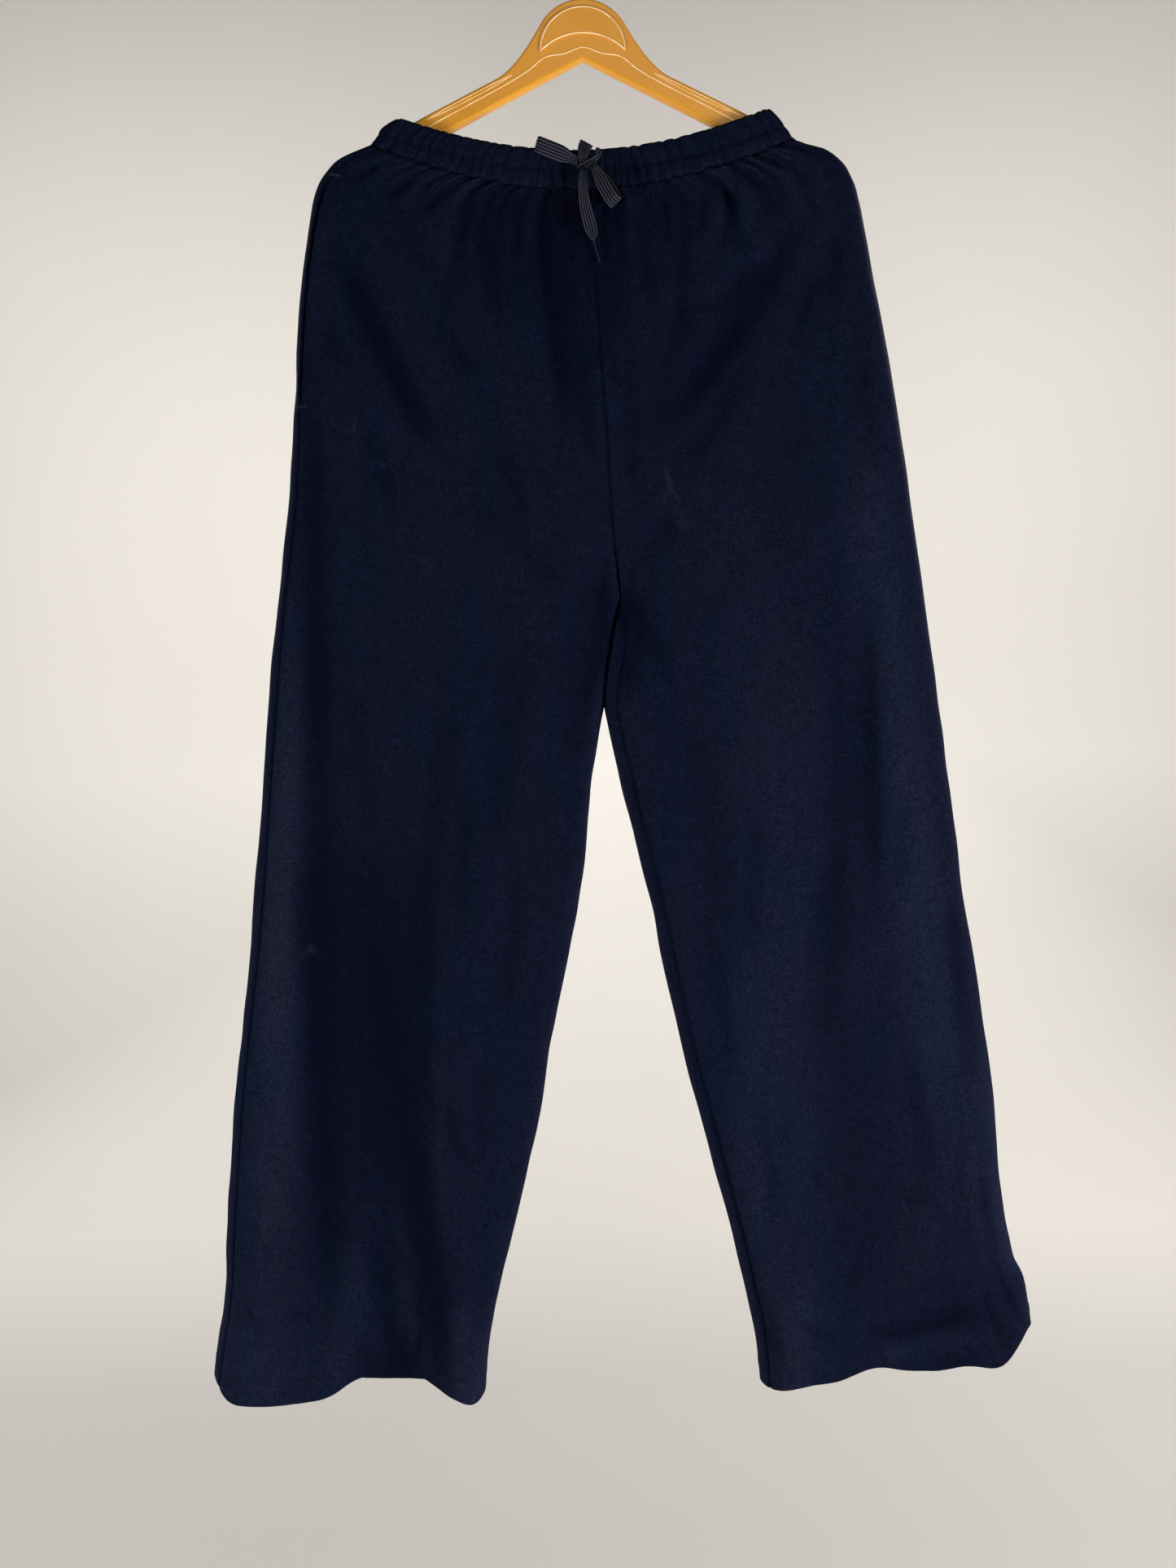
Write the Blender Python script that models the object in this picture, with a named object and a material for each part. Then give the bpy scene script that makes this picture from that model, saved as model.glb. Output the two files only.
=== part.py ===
"""Wide-legged pull-on trousers (palazzo pants) in jersey, hung by the waist on a plastic clothes hanger.

The origin is the inner crown of the hanger's hook. +Z is up and the front of the trousers faces -Y.
Right and left are the wearer's, so the right leg lies at -X. The tables are in millimetres, and a drop is
the distance below the origin, read at the middle of the garment.
"""
import math

import bmesh
import bpy
import numpy as np
from mathutils import Vector

MM = 0.001
RIGHT = -1
LEFT = 1
FRONT = "front"
BACK = "back"

# Cloth
CLOTH_WALL = 1.4
SEAM_GAP = 0.3
HEM_DEPTH = 19.0
HEM_EXTRA_INSIDE = 1.0
HEM_EXTRA_OUTSIDE = 0.3

# Heights of the garment's main levels
WAIST_TOP = 177.5
WAIST_SEAM = 206.0
GATHER_END = 262.0
CROTCH = 516.0
HEM = 1137.0

# How far the seams are turned about the body, and the valley between the legs above the crotch
SEAM_TURN = 16.0
SEAM_TURN_RAMP = 34.0
VALLEY_HEIGHT = 74.0
SIDE_RISE_POWER = 1.9

# Gathers: waves across one panel, so four times as many go round the waist
GATHERS = 20
GATHER_HEIGHT = 1.1
BAND_GATHER_HEIGHT = 0.65
BAND_EDGE_RIPPLE = 0.35

# Two slow waves that make the gathers uneven
# Columns: height as a share of a gather's, turns over the panel, start (both in radians)
GATHER_UNEVENNESS = ((0.38, 13.1, 0.7), (0.30, 37.7, 2.0))

# Limits on how far a fold may change the cloth's depth, as shares of that depth, and the share of a fold's
# length over which it fades at each end
MOST_TROUGH = 0.62
MOST_RIDGE = 0.5
FOLD_FADE = 0.3

# Mesh density, and the small step at which the cloth's slope is measured
NUDGE = 0.4
COLUMNS = 20
COLUMN_CROWDING = 0.25
FINE_DROPS = (206.15, 210.5, 216.5, 225.0, 236.0)
HIP_DROPS = (252.0, 276.0, 306.0, 340.0, 376.0, 414.0, 452.0, 484.0, 505.0)
LEG_DROPS = (516.0, 529.0, 548.0, 590.0, 660.0, 735.0, 810.0, 885.0, 955.0, 1015.0, 1072.0)
OUTLINE_SAMPLES = 90

# Sections of the garment from the waistband's top to the hem. rise_*: how much higher the section's side
# edge lies than its middle. out_*: from the middle line to the side edge. depth: half of the front-to-back.
SECTION_COLUMNS = ("drop", "rise_right", "rise_left", "out_right", "out_left", "depth")
SECTIONS = (
    (177.5, 29.0, 28.5, 144.5, 141.0, 8.5),
    (187.0, 31.5, 28.5, 155.0, 149.0, 8.8),
    (196.5, 35.0, 31.5, 158.5, 153.5, 9.1),
    (203.0, 38.2, 34.0, 162.0, 156.8, 9.4),
    (206.0, 39.2, 35.7, 166.0, 160.5, 9.5),
    (210.5, 36.0, 33.0, 186.5, 180.0, 10.0),
    (216.5, 30.5, 29.0, 199.5, 194.0, 11.0),
    (225.0, 25.0, 22.5, 207.5, 203.0, 12.5),
    (236.0, 16.5, 17.5, 212.5, 207.5, 14.0),
    (252.0, 8.0, 9.0, 217.0, 211.5, 15.0),
    (276.0, 2.0, 3.0, 221.5, 216.5, 15.5),
    (306.0, 0.0, 0.0, 225.3, 222.5, 15.5),
    (360.0, 0.0, 0.0, 230.0, 231.0, 15.5),
    (440.0, 0.0, 0.0, 237.5, 242.5, 14.5),
    (516.0, 0.0, 0.0, 250.0, 251.5, 12.5),
    (620.0, 0.0, 0.0, 262.5, 265.0, 12.0),
    (760.0, 0.0, 0.0, 278.0, 280.5, 12.0),
    (900.0, 0.0, 0.0, 297.5, 300.0, 12.5),
    (1000.0, 0.0, 0.0, 307.2, 307.2, 13.5),
    (1060.0, 0.0, 0.0, 311.5, 316.0, 15.0),
    (1100.0, 0.0, 0.0, 318.0, 324.0, 16.0),
    (1137.0, 0.0, 0.0, 322.5, 328.0, 17.0),
)

# Centre seams, as places across the garment (+X is the wearer's left)
CENTRE_COLUMNS = ("drop", "front", "back")
CENTRES = (
    (177.5, 1.0, -3.0),
    (254.0, 3.0, -6.0),
    (382.0, 9.0, -8.0),
    (465.0, 12.5, 2.0),
    (497.0, 15.5, 12.5),
    (516.0, 17.2, 17.2),
)

# Inner edges of the legs, from the middle line to each leg's own side
INNER_COLUMNS = ("drop", "in_right", "in_left")
INNERS = (
    (516.0, -17.0, 17.4),
    (550.0, -9.9, 10.3),
    (590.0, -2.6, 3.0),
    (650.0, 7.4, 12.2),
    (750.0, 22.3, 34.0),
    (850.0, 43.8, 52.5),
    (950.0, 64.8, 76.0),
    (1050.0, 91.8, 99.5),
    (1100.0, 103.0, 109.0),
    (1137.0, 108.0, 112.5),
)

# Folds: from (x0, drop0) to (x1, drop1), bowed sideways at the middle, with their half-width and depth.
# A depth above 0 is a trough, below 0 a ridge.
# Columns: x0, drop0, x1, drop1, bow, width, depth
FRONT_FOLDS = (
    # hips
    (-190, 228, -114, 412, 4, 10, 4.5),
    (-40, 200, -22, 392, 2, 6, 4.0),
    (165, 226, 50, 392, -3, 10, 4.5),
    (134, 262, 84, 304, 0, 6, 2.4),
    (177, 262, 146, 330, 0, 7, 1.8),
    (-150, 206, -104, 300, 0, 6, 2.0),
    (-92, 204, -66, 318, 0, 6, 2.6),
    (34, 204, 44, 300, 0, 6, 2.6),
    (74, 204, 62, 330, 0, 6, 2.4),
    (112, 204, 96, 262, 0, 5, 2.0),
    (-6, 470, -26, 650, 0, 12, 2.4),
    (-55, 520, -94, 720, 0, 13, 2.4),
    # right leg
    (-211, 350, -218, 1090, 6, 13, 3.6),
    (-170, 640, -186, 1060, 0, 34, 3.6),
    (-139, 690, -150, 950, 0, 14, 2.6),
    (-131, 740, -138, 1030, 0, 5, -2.2),
    (-204, 985, -226, 1160, 0, 15, -3.0),
    (-188, 985, -158, 1165, 5, 10, 5.5),
    (-180, 1070, -180, 1230, 0, 25, 6.5),
    (-126, 1040, -118, 1220, 0, 13, -5.5),
    (-278, 1020, -278, 1230, 0, 26, -3.5),
    # left leg
    (207, 500, 196, 730, 2, 15, 2.8),
    (171, 690, 160, 880, 0, 13, 2.4),
    (60, 560, 92, 800, 0, 14, 2.0),
    (282, 840, 312, 1070, 9, 10, -2.6),
    (186, 1102, 290, 1080, 0, 7, 2.4),
    (106, 1056, 130, 1122, 0, 6, 2.0),
    (134, 1010, 136, 1230, 0, 20, -4.0),
    (246, 1030, 250, 1230, 0, 44, 4.0),
)
BACK_FOLDS = (
    (152, 232, 74, 404, 4, 10, 4.2),
    (-164, 230, -62, 396, -4, 10, 4.2),
    (28, 206, 20, 388, 0, 7, 3.4),
    (-34, 206, -58, 330, 0, 6, 2.6),
    (88, 206, 104, 300, 0, 6, 2.4),
    (-104, 206, -122, 306, 0, 6, 2.4),
    (50, 470, 84, 660, 0, 13, 2.6),
    (-26, 480, -60, 700, 0, 13, 2.6),
    (206, 410, 214, 1040, -5, 14, 3.4),
    (-202, 470, -216, 1090, 4, 14, 3.2),
    (-146, 720, -166, 1230, 0, 28, 3.6),
    (188, 760, 208, 1230, 0, 26, 4.4),
    (252, 860, 284, 1230, 0, 14, -2.6),
    (-256, 900, -284, 1230, 0, 14, -2.6),
    (132, 900, 146, 1230, 0, 13, -3.0),
    (-118, 980, -124, 1230, 0, 12, -3.0),
)

# Rises of the hem's edge, on one face or on both
# Columns: x, width, rise, face
HEM_RISES = (
    (-200, 24, 19.0, FRONT),
    (-180, 12, 4.5, FRONT),
    (-160, 20, 18.0, FRONT),
    (-114, 9, -4.5, FRONT),
    (-324, 13, 20.0, None),
    (150, 18, 3.0, FRONT),
    (204, 30, 15.0, FRONT),
    (238, 16, 4.0, FRONT),
    (276, 30, 14.0, FRONT),
    (326, 19, 42.0, None),
    (-246, 30, 5.0, BACK),
    (-150, 22, -2.0, BACK),
    (170, 26, 5.0, BACK),
    (262, 24, 4.0, BACK),
)
HEM_RISE_START = 900.0
HEM_STEP = 1.5

# Pocket in the right side seam
POCKET_TOP = 219.0
POCKET_BOTTOM = 362.0
POCKET_MOUTH_GAP = 1.5
POCKET_FADE = 9.0

# The bag's rows. behind: from the leg's wall to the bag's front layer. space: between the two layers.
# Columns: drop, behind, space
BAG_ROWS = (
    (227.0, 3.4, 1.2),
    (238.0, 3.0, 1.6),
    (252.0, 1.4, 2.0),
    (276.0, 0.5, 2.6),
    (306.0, 0.4, 2.8),
    (340.0, 0.4, 2.8),
    (376.0, 0.4, 2.4),
    (414.0, 0.4, 1.0),
)
BAG_WALL = 1.0
BAG_SPAN = 11
BAG_END_SHARE = 0.25

# Waistband's section
# Columns: share of the way down, how far out (or, below 0, in) from the ring
BAND_OUTER = ((0.0, 1.2), (0.2, 2.1), (0.4, 1.3), (0.72, 2.1), (1.0, 1.2))
BAND_INNER = ((1.0, -1.0), (0.7, -1.0), (0.35, -1.0), (0.0, -1.0))

# Hanger
HANGER_DEPTH = 9.0
HANGER_EDGE_ROUND = 2.2
HANGER_TILT = math.radians(0.8)
HEAD_TOP = 62.0
HEAD_RADIUS = 37.0
HEAD_TURN = math.radians(60.0)
NECK_END = 66.0
ARM_TOP_AT_MIDDLE = 87.8
ARM_TOP_SLOPE = 0.494
ARM_LOW_AT_MIDDLE = 106.2
ARM_LOW_SLOPE = 0.512
ARM_STATIONS = (66.0, 120.0, 140.0, 155.0, 168.0)
ARM_DROOP = 5.6
ARM_DROOP_START = 116.0
ARM_SPAN = 191.5
ARM_END_TOP_ROUND = 15.0
ARM_END_LOW_ROUND = 6.0
ARM_END_LOW_INSET = 3.0
ARM_END_LOW_START = -0.3
CRESCENT_HALF_WIDTH = 32.0
CRESCENT_TOP = 69.0
CRESCENT_LOW = 101.0
CRESCENT_NOTCH = 88.0
CRESCENT_RAISE = 0.8
BORE_DEPTH = 14.0
BORE_FLOOR_GAP = 1.5
BORE_SEGMENTS = 16
HEAD_STEPS = 7
NECK_STEPS = 6
END_TOP_STEPS = 5
END_LOW_STEPS = 4
CRESCENT_TOP_STEPS = 12
CRESCENT_LOW_STEPS = 10

# Hook
WIRE_RADIUS = 2.0
HOOK_INNER_RADIUS = 19.0
HOOK_TIP_ANGLE = math.radians(206.0)
HOOK_NECK_ANGLE = math.radians(-38.0)
HOOK_NECK_PULL = 9.0
STEM_ABOVE_HEAD = 8.0
STEM_PULL = 10.0
CROOK_STEPS = 22
HOOK_NECK_STEPS = 8

# Drawstring: a flat braided lace, tied in a bow in front of the waistband
LACE_THICKNESS = 1.7
LOOP_RUN_STEPS = 4
LOOP_TIP_STEPS = 6
LOOP_ROOT_SHARE = 0.6
LACE_FLAT_SHARE = 0.8
KNOT_CENTRE = (0.3, -15.9, -188.4)
KNOT_RADII = (6.6, 4.7, 6.0)
KNOT_UNEVEN = 0.08
KNOT_SEGMENTS = (14, 9)
STRAND_ACROSS = (0.3, 0.0, 1.0)
STRAND_WIDTH = 2.2
STRAND_THICKNESS = 1.2
STRAND_ROUTE = (
    (-7.2, -18.4, -193.8),
    (-4.0, -20.2, -193.9),
    (0.0, -21.6, -192.0),
    (4.4, -21.2, -190.0),
    (7.8, -18.9, -187.8),
)

# The two loops, named by the side they lie on. root, tip: where the loop leaves the knot and where it turns.
# lift: from one run to the other. across: the lace's width. spread: half of the gap at the tip.
LOOPS = {
    "right": {"root": (-7.0, -15.2, -188.4), "tip": (-35.5, -15.2, -176.4), "lift": (0.1, -1.0, 0.2),
              "across": (0.35, 0.1, 1.0), "width": 12.0, "spread": 2.3},
    "left": {"root": (5.2, -15.2, -194.0), "tip": (19.6, -16.9, -219.0), "lift": (0.3, -1.0, 0.1),
             "across": (1.0, 0.2, 0.5), "width": 11.5, "spread": 2.4},
}

# The short end above the knot
# Columns: place, direction across the lace, width
SHORT_END = (
    ((3.4, -16.4, -181.0), (1.0, 0.0, -0.2), 7.5),
    ((3.2, -16.6, -178.9), (1.0, 0.0, -0.35), 11.0),
    ((3.0, -16.4, -176.9), (1.0, 0.1, -0.5), 14.0),
    ((2.9, -15.9, -175.1), (1.0, 0.15, -0.55), 14.5),
)

# The free tail
# Columns: x, y, z, share of the full width
TAIL_ROUTE = (
    (-1.9, -15.3, -194.9, 0.66),
    (-3.2, -16.0, -200.0, 0.84),
    (-4.4, -16.7, -206.0, 0.95),
    (-4.7, -17.0, -212.0, 1.0),
    (-4.5, -17.1, -218.0, 1.0),
    (-3.6, -17.1, -224.0, 1.0),
    (-2.2, -17.1, -230.0, 1.0),
    (-0.7, -17.1, -236.0, 0.98),
    (0.6, -17.1, -241.0, 0.9),
    (1.6, -17.4, -245.0, 0.62),
    (2.5, -17.3, -248.5, 0.3),
    (4.2, -17.2, -255.0, 0.26),
    (5.8, -17.2, -260.5, 0.26),
    (6.5, -17.2, -263.5, 0.36),
)
TAIL_EXTRUDE = 3.5
TAIL_BEVEL = 0.9
TAIL_TURN = math.radians(54.0)

COLOURS = {
    "jersey": ((0.0035, 0.0052, 0.0150, 1.0), 0.92, 0.0),
    "jersey_inside": ((0.0030, 0.0042, 0.0120, 1.0), 0.95, 0.0),
    "lace": ((0.016, 0.018, 0.027, 1.0), 0.85, 0.0),
    "orange_plastic": ((0.60, 0.27, 0.045, 1.0), 0.28, 0.0),
    "hook_wire": ((0.62, 0.62, 0.63, 1.0), 0.22, 1.0),
}


def clear_scene():
    """Removes every object that the file starts with."""
    for item in list(bpy.data.objects):
        bpy.data.objects.remove(item, do_unlink=True)


def material(name):
    """One of the part's plain finishes."""
    colour, roughness, metallic = COLOURS[name]
    found = bpy.data.materials.get(name)
    if found:
        return found
    made = bpy.data.materials.new(name)
    made.use_nodes = True
    shader = made.node_tree.nodes["Principled BSDF"]
    shader.inputs["Base Color"].default_value = colour
    shader.inputs["Roughness"].default_value = roughness
    shader.inputs["Metallic"].default_value = metallic
    return made


def smooth_step(value):
    """0 below 0, 1 above 1, and a soft S between."""
    q = np.clip(value, 0.0, 1.0)
    return q * q * (3.0 - 2.0 * q)


def end_round(share):
    """Rises from 0 at a folded edge to 1 one radius further in, as a quarter circle does."""
    q = np.clip(share, 0.0, 1.0)
    return np.sqrt(q * (2.0 - q))


def read_table(rows, columns, name, drop):
    """A column of a table at any drop, on a smooth curve through its rows."""
    drops = np.array([row[0] for row in rows], float)
    values = np.array([row[columns.index(name)] for row in rows], float)
    slopes = np.gradient(values, drops)
    at = float(np.clip(drop, drops[0], drops[-1]))
    i = int(np.clip(np.searchsorted(drops, at) - 1, 0, len(drops) - 2))
    step = drops[i + 1] - drops[i]
    q = (at - drops[i]) / step
    start = (1 + 2 * q) * (1 - q) ** 2 * values[i] + q * (1 - q) ** 2 * step * slopes[i]
    end = q * q * (3 - 2 * q) * values[i + 1] + q * q * (q - 1) * step * slopes[i + 1]
    return start + end


def section(name, drop):
    """A size of the garment's section at one drop."""
    return read_table(SECTIONS, SECTION_COLUMNS, name, drop)


def side_name(side):
    """The ending of a column's name for one side."""
    return "right" if side == RIGHT else "left"


def fold_depth(face, x, drop):
    """How far the folds press the cloth in at places across one face."""
    total = np.zeros_like(x)
    for x0, drop0, x1, drop1, bow, width, depth in FRONT_FOLDS if face == FRONT else BACK_FOLDS:
        along_x, along_drop = x1 - x0, drop1 - drop0
        length = math.hypot(along_x, along_drop)
        share = ((x - x0) * along_x + (drop - drop0) * along_drop) / length**2
        aside = ((x - x0) * along_drop - (drop - drop0) * along_x) / length
        inside = np.clip(share, 0.0, 1.0)
        aside = aside + bow * 4.0 * inside * (1.0 - inside)
        taper = smooth_step(share / FOLD_FADE) * smooth_step((1.0 - share) / FOLD_FADE)
        total = total + depth * taper * np.exp(-((aside / width) ** 2))
    return total


def inner_edge(side, face, drop):
    """Where one leg's outline starts, and where its rounded inner end would start, on the leg's own side."""
    if drop >= CROTCH:
        edge = read_table(INNERS, INNER_COLUMNS, "in_" + side_name(side), drop)
        return edge, edge
    seam = side * read_table(CENTRES, CENTRE_COLUMNS, face, drop)
    valley = min((CROTCH - drop) / VALLEY_HEIGHT, 1.0)
    return seam, seam - valley * section("depth", drop)


def leg_outline(side, drop):
    """A leg's outline at one drop: from its inner seam across the front, round the side and back.

    Gives the points, the outward normals, the distance along, and the distance of the outer edge.
    """
    out = section("out_" + side_name(side), drop)
    depth = section("depth", drop)
    crowded = 0.5 - 0.5 * np.cos(np.linspace(0.0, math.pi, OUTLINE_SAMPLES))
    halves = []
    for face in (FRONT, BACK):
        start, edge = inner_edge(side, face, drop)
        across = start + (out - start) * crowded
        ends = end_round((across - edge) / depth) * end_round((out - across) / depth)
        share = fold_depth(face, side * across, drop) / depth
        most = np.where(share > 0, MOST_TROUGH, MOST_RIDGE)
        pressed = most * np.tanh(share / most)
        half = depth * ends * (1.0 - pressed)
        y = -half if face == FRONT else half
        halves.append(np.stack([side * across, y], axis=1))
    points = np.concatenate([halves[0], halves[1][::-1][1:]])
    along = np.concatenate([[0.0], np.cumsum(np.linalg.norm(np.diff(points, axis=0), axis=1))])
    if drop >= CROTCH:
        ring = np.concatenate([points[-3:-1], points, points[1:3]])
        tangents = (ring[3:-1] - ring[1:-3])
    else:
        tangents = np.gradient(points, axis=0)
    normals = side * np.stack([tangents[:, 1], -tangents[:, 0]], axis=1)
    if drop < CROTCH:
        normals[0] = (0.0, -1.0)
        normals[-1] = (0.0, 1.0)
    normals /= np.maximum(np.linalg.norm(normals, axis=1, keepdims=True), 1e-9)
    return points, normals, along, along[OUTLINE_SAMPLES - 1]


def seam_places(side, drop, along, outer):
    """Distances along the outline of the inner seam's start, the side seam and the inner seam's end."""
    turn = side * SEAM_TURN
    inner = turn * smooth_step((drop - CROTCH) / SEAM_TURN_RAMP) if drop > CROTCH else 0.0
    return inner, outer + turn, along[-1] + inner


def read_outline(outline, distance, closed):
    """Points and normals at distances along an outline."""
    points, normals, along, _ = outline
    at = np.mod(distance, along[-1]) if closed else np.clip(distance, 0.0, along[-1])
    point = np.stack([np.interp(at, along, points[:, k]) for k in range(2)], axis=1)
    normal = np.stack([np.interp(at, along, normals[:, k]) for k in range(2)], axis=1)
    normal /= np.maximum(np.linalg.norm(normal, axis=1, keepdims=True), 1e-9)
    return point, normal


def hem_rise(x, y, drop):
    """How much higher than its own level the cloth hangs near the hem."""
    frontness = 0.5 - 0.5 * np.clip(y / section("depth", drop), -1.0, 1.0)
    total = np.zeros_like(x)
    for centre, width, rise, face in HEM_RISES:
        weight = {FRONT: frontness, BACK: 1.0 - frontness, None: 1.0}[face]
        total = total + weight * rise * np.exp(-(((x - centre) / width) ** 2))
    return total * smooth_step((drop - HEM_RISE_START) / (HEM - HEM_RISE_START)) ** 2


def height(x, y, drop):
    """The height of the cloth at a place on the section of one drop."""
    outs = np.where(x < 0, section("out_right", drop), section("out_left", drop))
    rises = np.where(x < 0, section("rise_right", drop), section("rise_left", drop))
    side = rises * np.clip(np.abs(x) / outs, 0.0, 1.0) ** SIDE_RISE_POWER
    return -drop + side + hem_rise(x, y, drop)


def gather_fade(drop):
    """How much of the gathers is left at a drop below the waist seam."""
    return float(1.0 - smooth_step((drop - WAIST_SEAM) / (GATHER_END - WAIST_SEAM)))


def gather_wave(share, high):
    """The gathers' wave across a panel: peaks at its edges, uneven between them."""
    edge = np.sin(math.pi * share) ** 2
    uneven = sum(more * np.sin(turns * share + start) for more, turns, start in GATHER_UNEVENNESS)
    return high * (1.0 + edge * uneven) * np.cos(2.0 * math.pi * GATHERS * share)


def mouth_gap(side, drop):
    """Half of the gap at the side seam, wider along the pocket's mouth."""
    if side != RIGHT:
        return SEAM_GAP / 2
    opened = smooth_step((drop - POCKET_TOP) / POCKET_FADE)
    closed = smooth_step((POCKET_BOTTOM - drop) / POCKET_FADE)
    return SEAM_GAP / 2 + opened * closed * POCKET_MOUTH_GAP / 2


def cloth_at(side, drop, distance):
    """Places on the cloth at distances along one leg's outline, and the level directions out of it."""
    point, normal = read_outline(leg_outline(side, drop), distance, drop >= CROTCH)
    z = height(point[:, 0], point[:, 1], drop)
    return np.column_stack([point, z]), np.column_stack([normal, np.zeros(len(z))])


def panel_distances(side, face, drop, columns, gaps):
    """Distances along the outline of a panel's columns, from its inner seam to its side seam."""
    outline = leg_outline(side, drop)
    start, middle, end = seam_places(side, drop, outline[2], outline[3])
    inner_gap = SEAM_GAP / 2 if gaps else 0.0
    side_gap = mouth_gap(side, drop) if gaps else 0.0
    share = np.linspace(0.0, 1.0, columns + 1)
    spread = share - COLUMN_CROWDING * np.sin(2.0 * math.pi * share) / (2.0 * math.pi)
    if face == FRONT:
        first, last = start + inner_gap, middle - side_gap
    else:
        first, last = end - inner_gap, middle + side_gap
    return first + (last - first) * spread


def panel_row(side, face, drop, columns, offset=0.0, gather=None, gaps=True):
    """One row of points across a panel, from its inner seam to its side seam."""
    distance = panel_distances(side, face, drop, columns, gaps)
    place, level = cloth_at(side, drop, distance)
    along = cloth_at(side, drop, distance + NUDGE)[0] - cloth_at(side, drop, distance - NUDGE)[0]
    if drop < CROTCH:
        along[0] = (1.0, 0.0, 0.0)
    above, below = (cloth_at(side, near, panel_distances(side, face, near, columns, gaps))[0]
                    for near in (drop - NUDGE, min(drop + NUDGE, HEM)))
    out = np.cross(along, below - above)
    out *= np.sign(np.sum(out * level, axis=1))[:, None]
    out /= np.linalg.norm(out, axis=1, keepdims=True)
    high = GATHER_HEIGHT * gather_fade(drop) if gather is None else gather
    share = np.linspace(0.0, 1.0, columns + 1)
    return (place + out * (offset + gather_wave(share, high))[:, None]) * MM


def new_object(name, mesh, finish):
    """Puts a mesh into the scene as a smooth-shaded piece."""
    mesh.materials.append(material(finish))
    mesh.shade_smooth()
    made = bpy.data.objects.new(name, mesh)
    bpy.context.scene.collection.objects.link(made)
    return made


def mesh_from(name, points, faces):
    """A closed mesh with its faces pointing out."""
    work = bmesh.new()
    corners = [work.verts.new(p) for p in points]
    for face in faces:
        work.faces.new([corners[i] for i in face])
    bmesh.ops.recalc_face_normals(work, faces=work.faces)
    mesh = bpy.data.meshes.new(name)
    work.to_mesh(mesh)
    work.free()
    return mesh


def join_rows(upper, lower):
    """Triangles between two rows of points, of one count or with every second point merged away."""
    faces = []
    if len(upper) == len(lower):
        for i in range(len(upper) - 1):
            faces += [(upper[i], upper[i + 1], lower[i + 1]), (upper[i], lower[i + 1], lower[i])]
        return faces
    for i in range(len(lower) - 1):
        a, b, c = upper[2 * i : 2 * i + 3]
        faces += [(a, b, lower[i]), (b, lower[i + 1], lower[i]), (b, c, lower[i + 1])]
    return faces


def wall(name, outer, inner, finish):
    """A wall of cloth between two sets of rows, closed along its four edges."""
    points, index = [], []
    for rows in (outer, inner):
        numbered = []
        for row in rows:
            numbered.append(list(range(len(points), len(points) + len(row))))
            points.extend(row)
        index.append(numbered)
    out, inn = index
    faces = []
    for i in range(len(out) - 1):
        faces += join_rows(out[i], out[i + 1])
        faces += [tuple(reversed(face)) for face in join_rows(inn[i], inn[i + 1])]
        faces += [(out[i][0], out[i + 1][0], inn[i + 1][0], inn[i][0])]
        faces += [(out[i][-1], inn[i][-1], inn[i + 1][-1], out[i + 1][-1])]
    for row, flip in ((0, False), (-1, True)):
        for i in range(len(out[row]) - 1):
            face = (out[row][i], inn[row][i], inn[row][i + 1], out[row][i + 1])
            faces.append(tuple(reversed(face)) if flip else face)
    new_object(name, mesh_from(name, points, faces), finish)


def leg_panel(side, face):
    """One of the four leg panels, from the waist seam to the turned-up hem."""
    hem_top = HEM - HEM_DEPTH
    rows = [(drop, 2 * COLUMNS, 0.0, -CLOTH_WALL) for drop in FINE_DROPS]
    rows += [(drop, COLUMNS, 0.0, -CLOTH_WALL) for drop in HIP_DROPS + LEG_DROPS]
    rows += [(hem_top, COLUMNS, 0.0, -CLOTH_WALL)]
    doubled = (HEM_EXTRA_OUTSIDE, -CLOTH_WALL - HEM_EXTRA_INSIDE)
    rows += [(drop, COLUMNS, *doubled) for drop in (hem_top + HEM_STEP, HEM)]
    outer = [panel_row(side, face, drop, columns, out) for drop, columns, out, _ in rows]
    inner = [panel_row(side, face, drop, columns, inn) for drop, columns, _, inn in rows]
    wall(f"{face}_{side_name(side)}_leg", outer, inner, "jersey")


def band_ring(share, offset, ripple):
    """One ring of the waistband, a share of the way from its top edge to the waist seam."""
    low = WAIST_SEAM - SEAM_GAP / 2
    drop = WAIST_TOP + share * (low - WAIST_TOP)
    quarters = ((LEFT, FRONT, False), (LEFT, BACK, True), (RIGHT, BACK, False), (RIGHT, FRONT, True))
    ring = []
    for side, face, reverse in quarters:
        row = panel_row(side, face, drop, 2 * COLUMNS, offset, BAND_GATHER_HEIGHT, gaps=False)
        row[:, 2] += ripple * MM * np.cos(2.0 * math.pi * GATHERS * np.linspace(0.0, 1.0, len(row)))
        ring.extend(row[::-1][:-1] if reverse else row[:-1])
    return ring


def waistband():
    """The gathered band round the elastic, sewn into a ring."""
    rings = [band_ring(share, offset, BAND_EDGE_RIPPLE if share == 0.0 else 0.0)
             for share, offset in BAND_OUTER + BAND_INNER]
    count = len(rings[0])
    points = [point for ring in rings for point in ring]
    faces = []
    for i in range(len(rings)):
        first = list(range(i * count, (i + 1) * count))
        second = [j + count if i < len(rings) - 1 else j - i * count for j in first]
        faces += join_rows(first + first[:1], second + second[:1])
    new_object("waistband", mesh_from("waistband", points, faces), "jersey")


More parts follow.
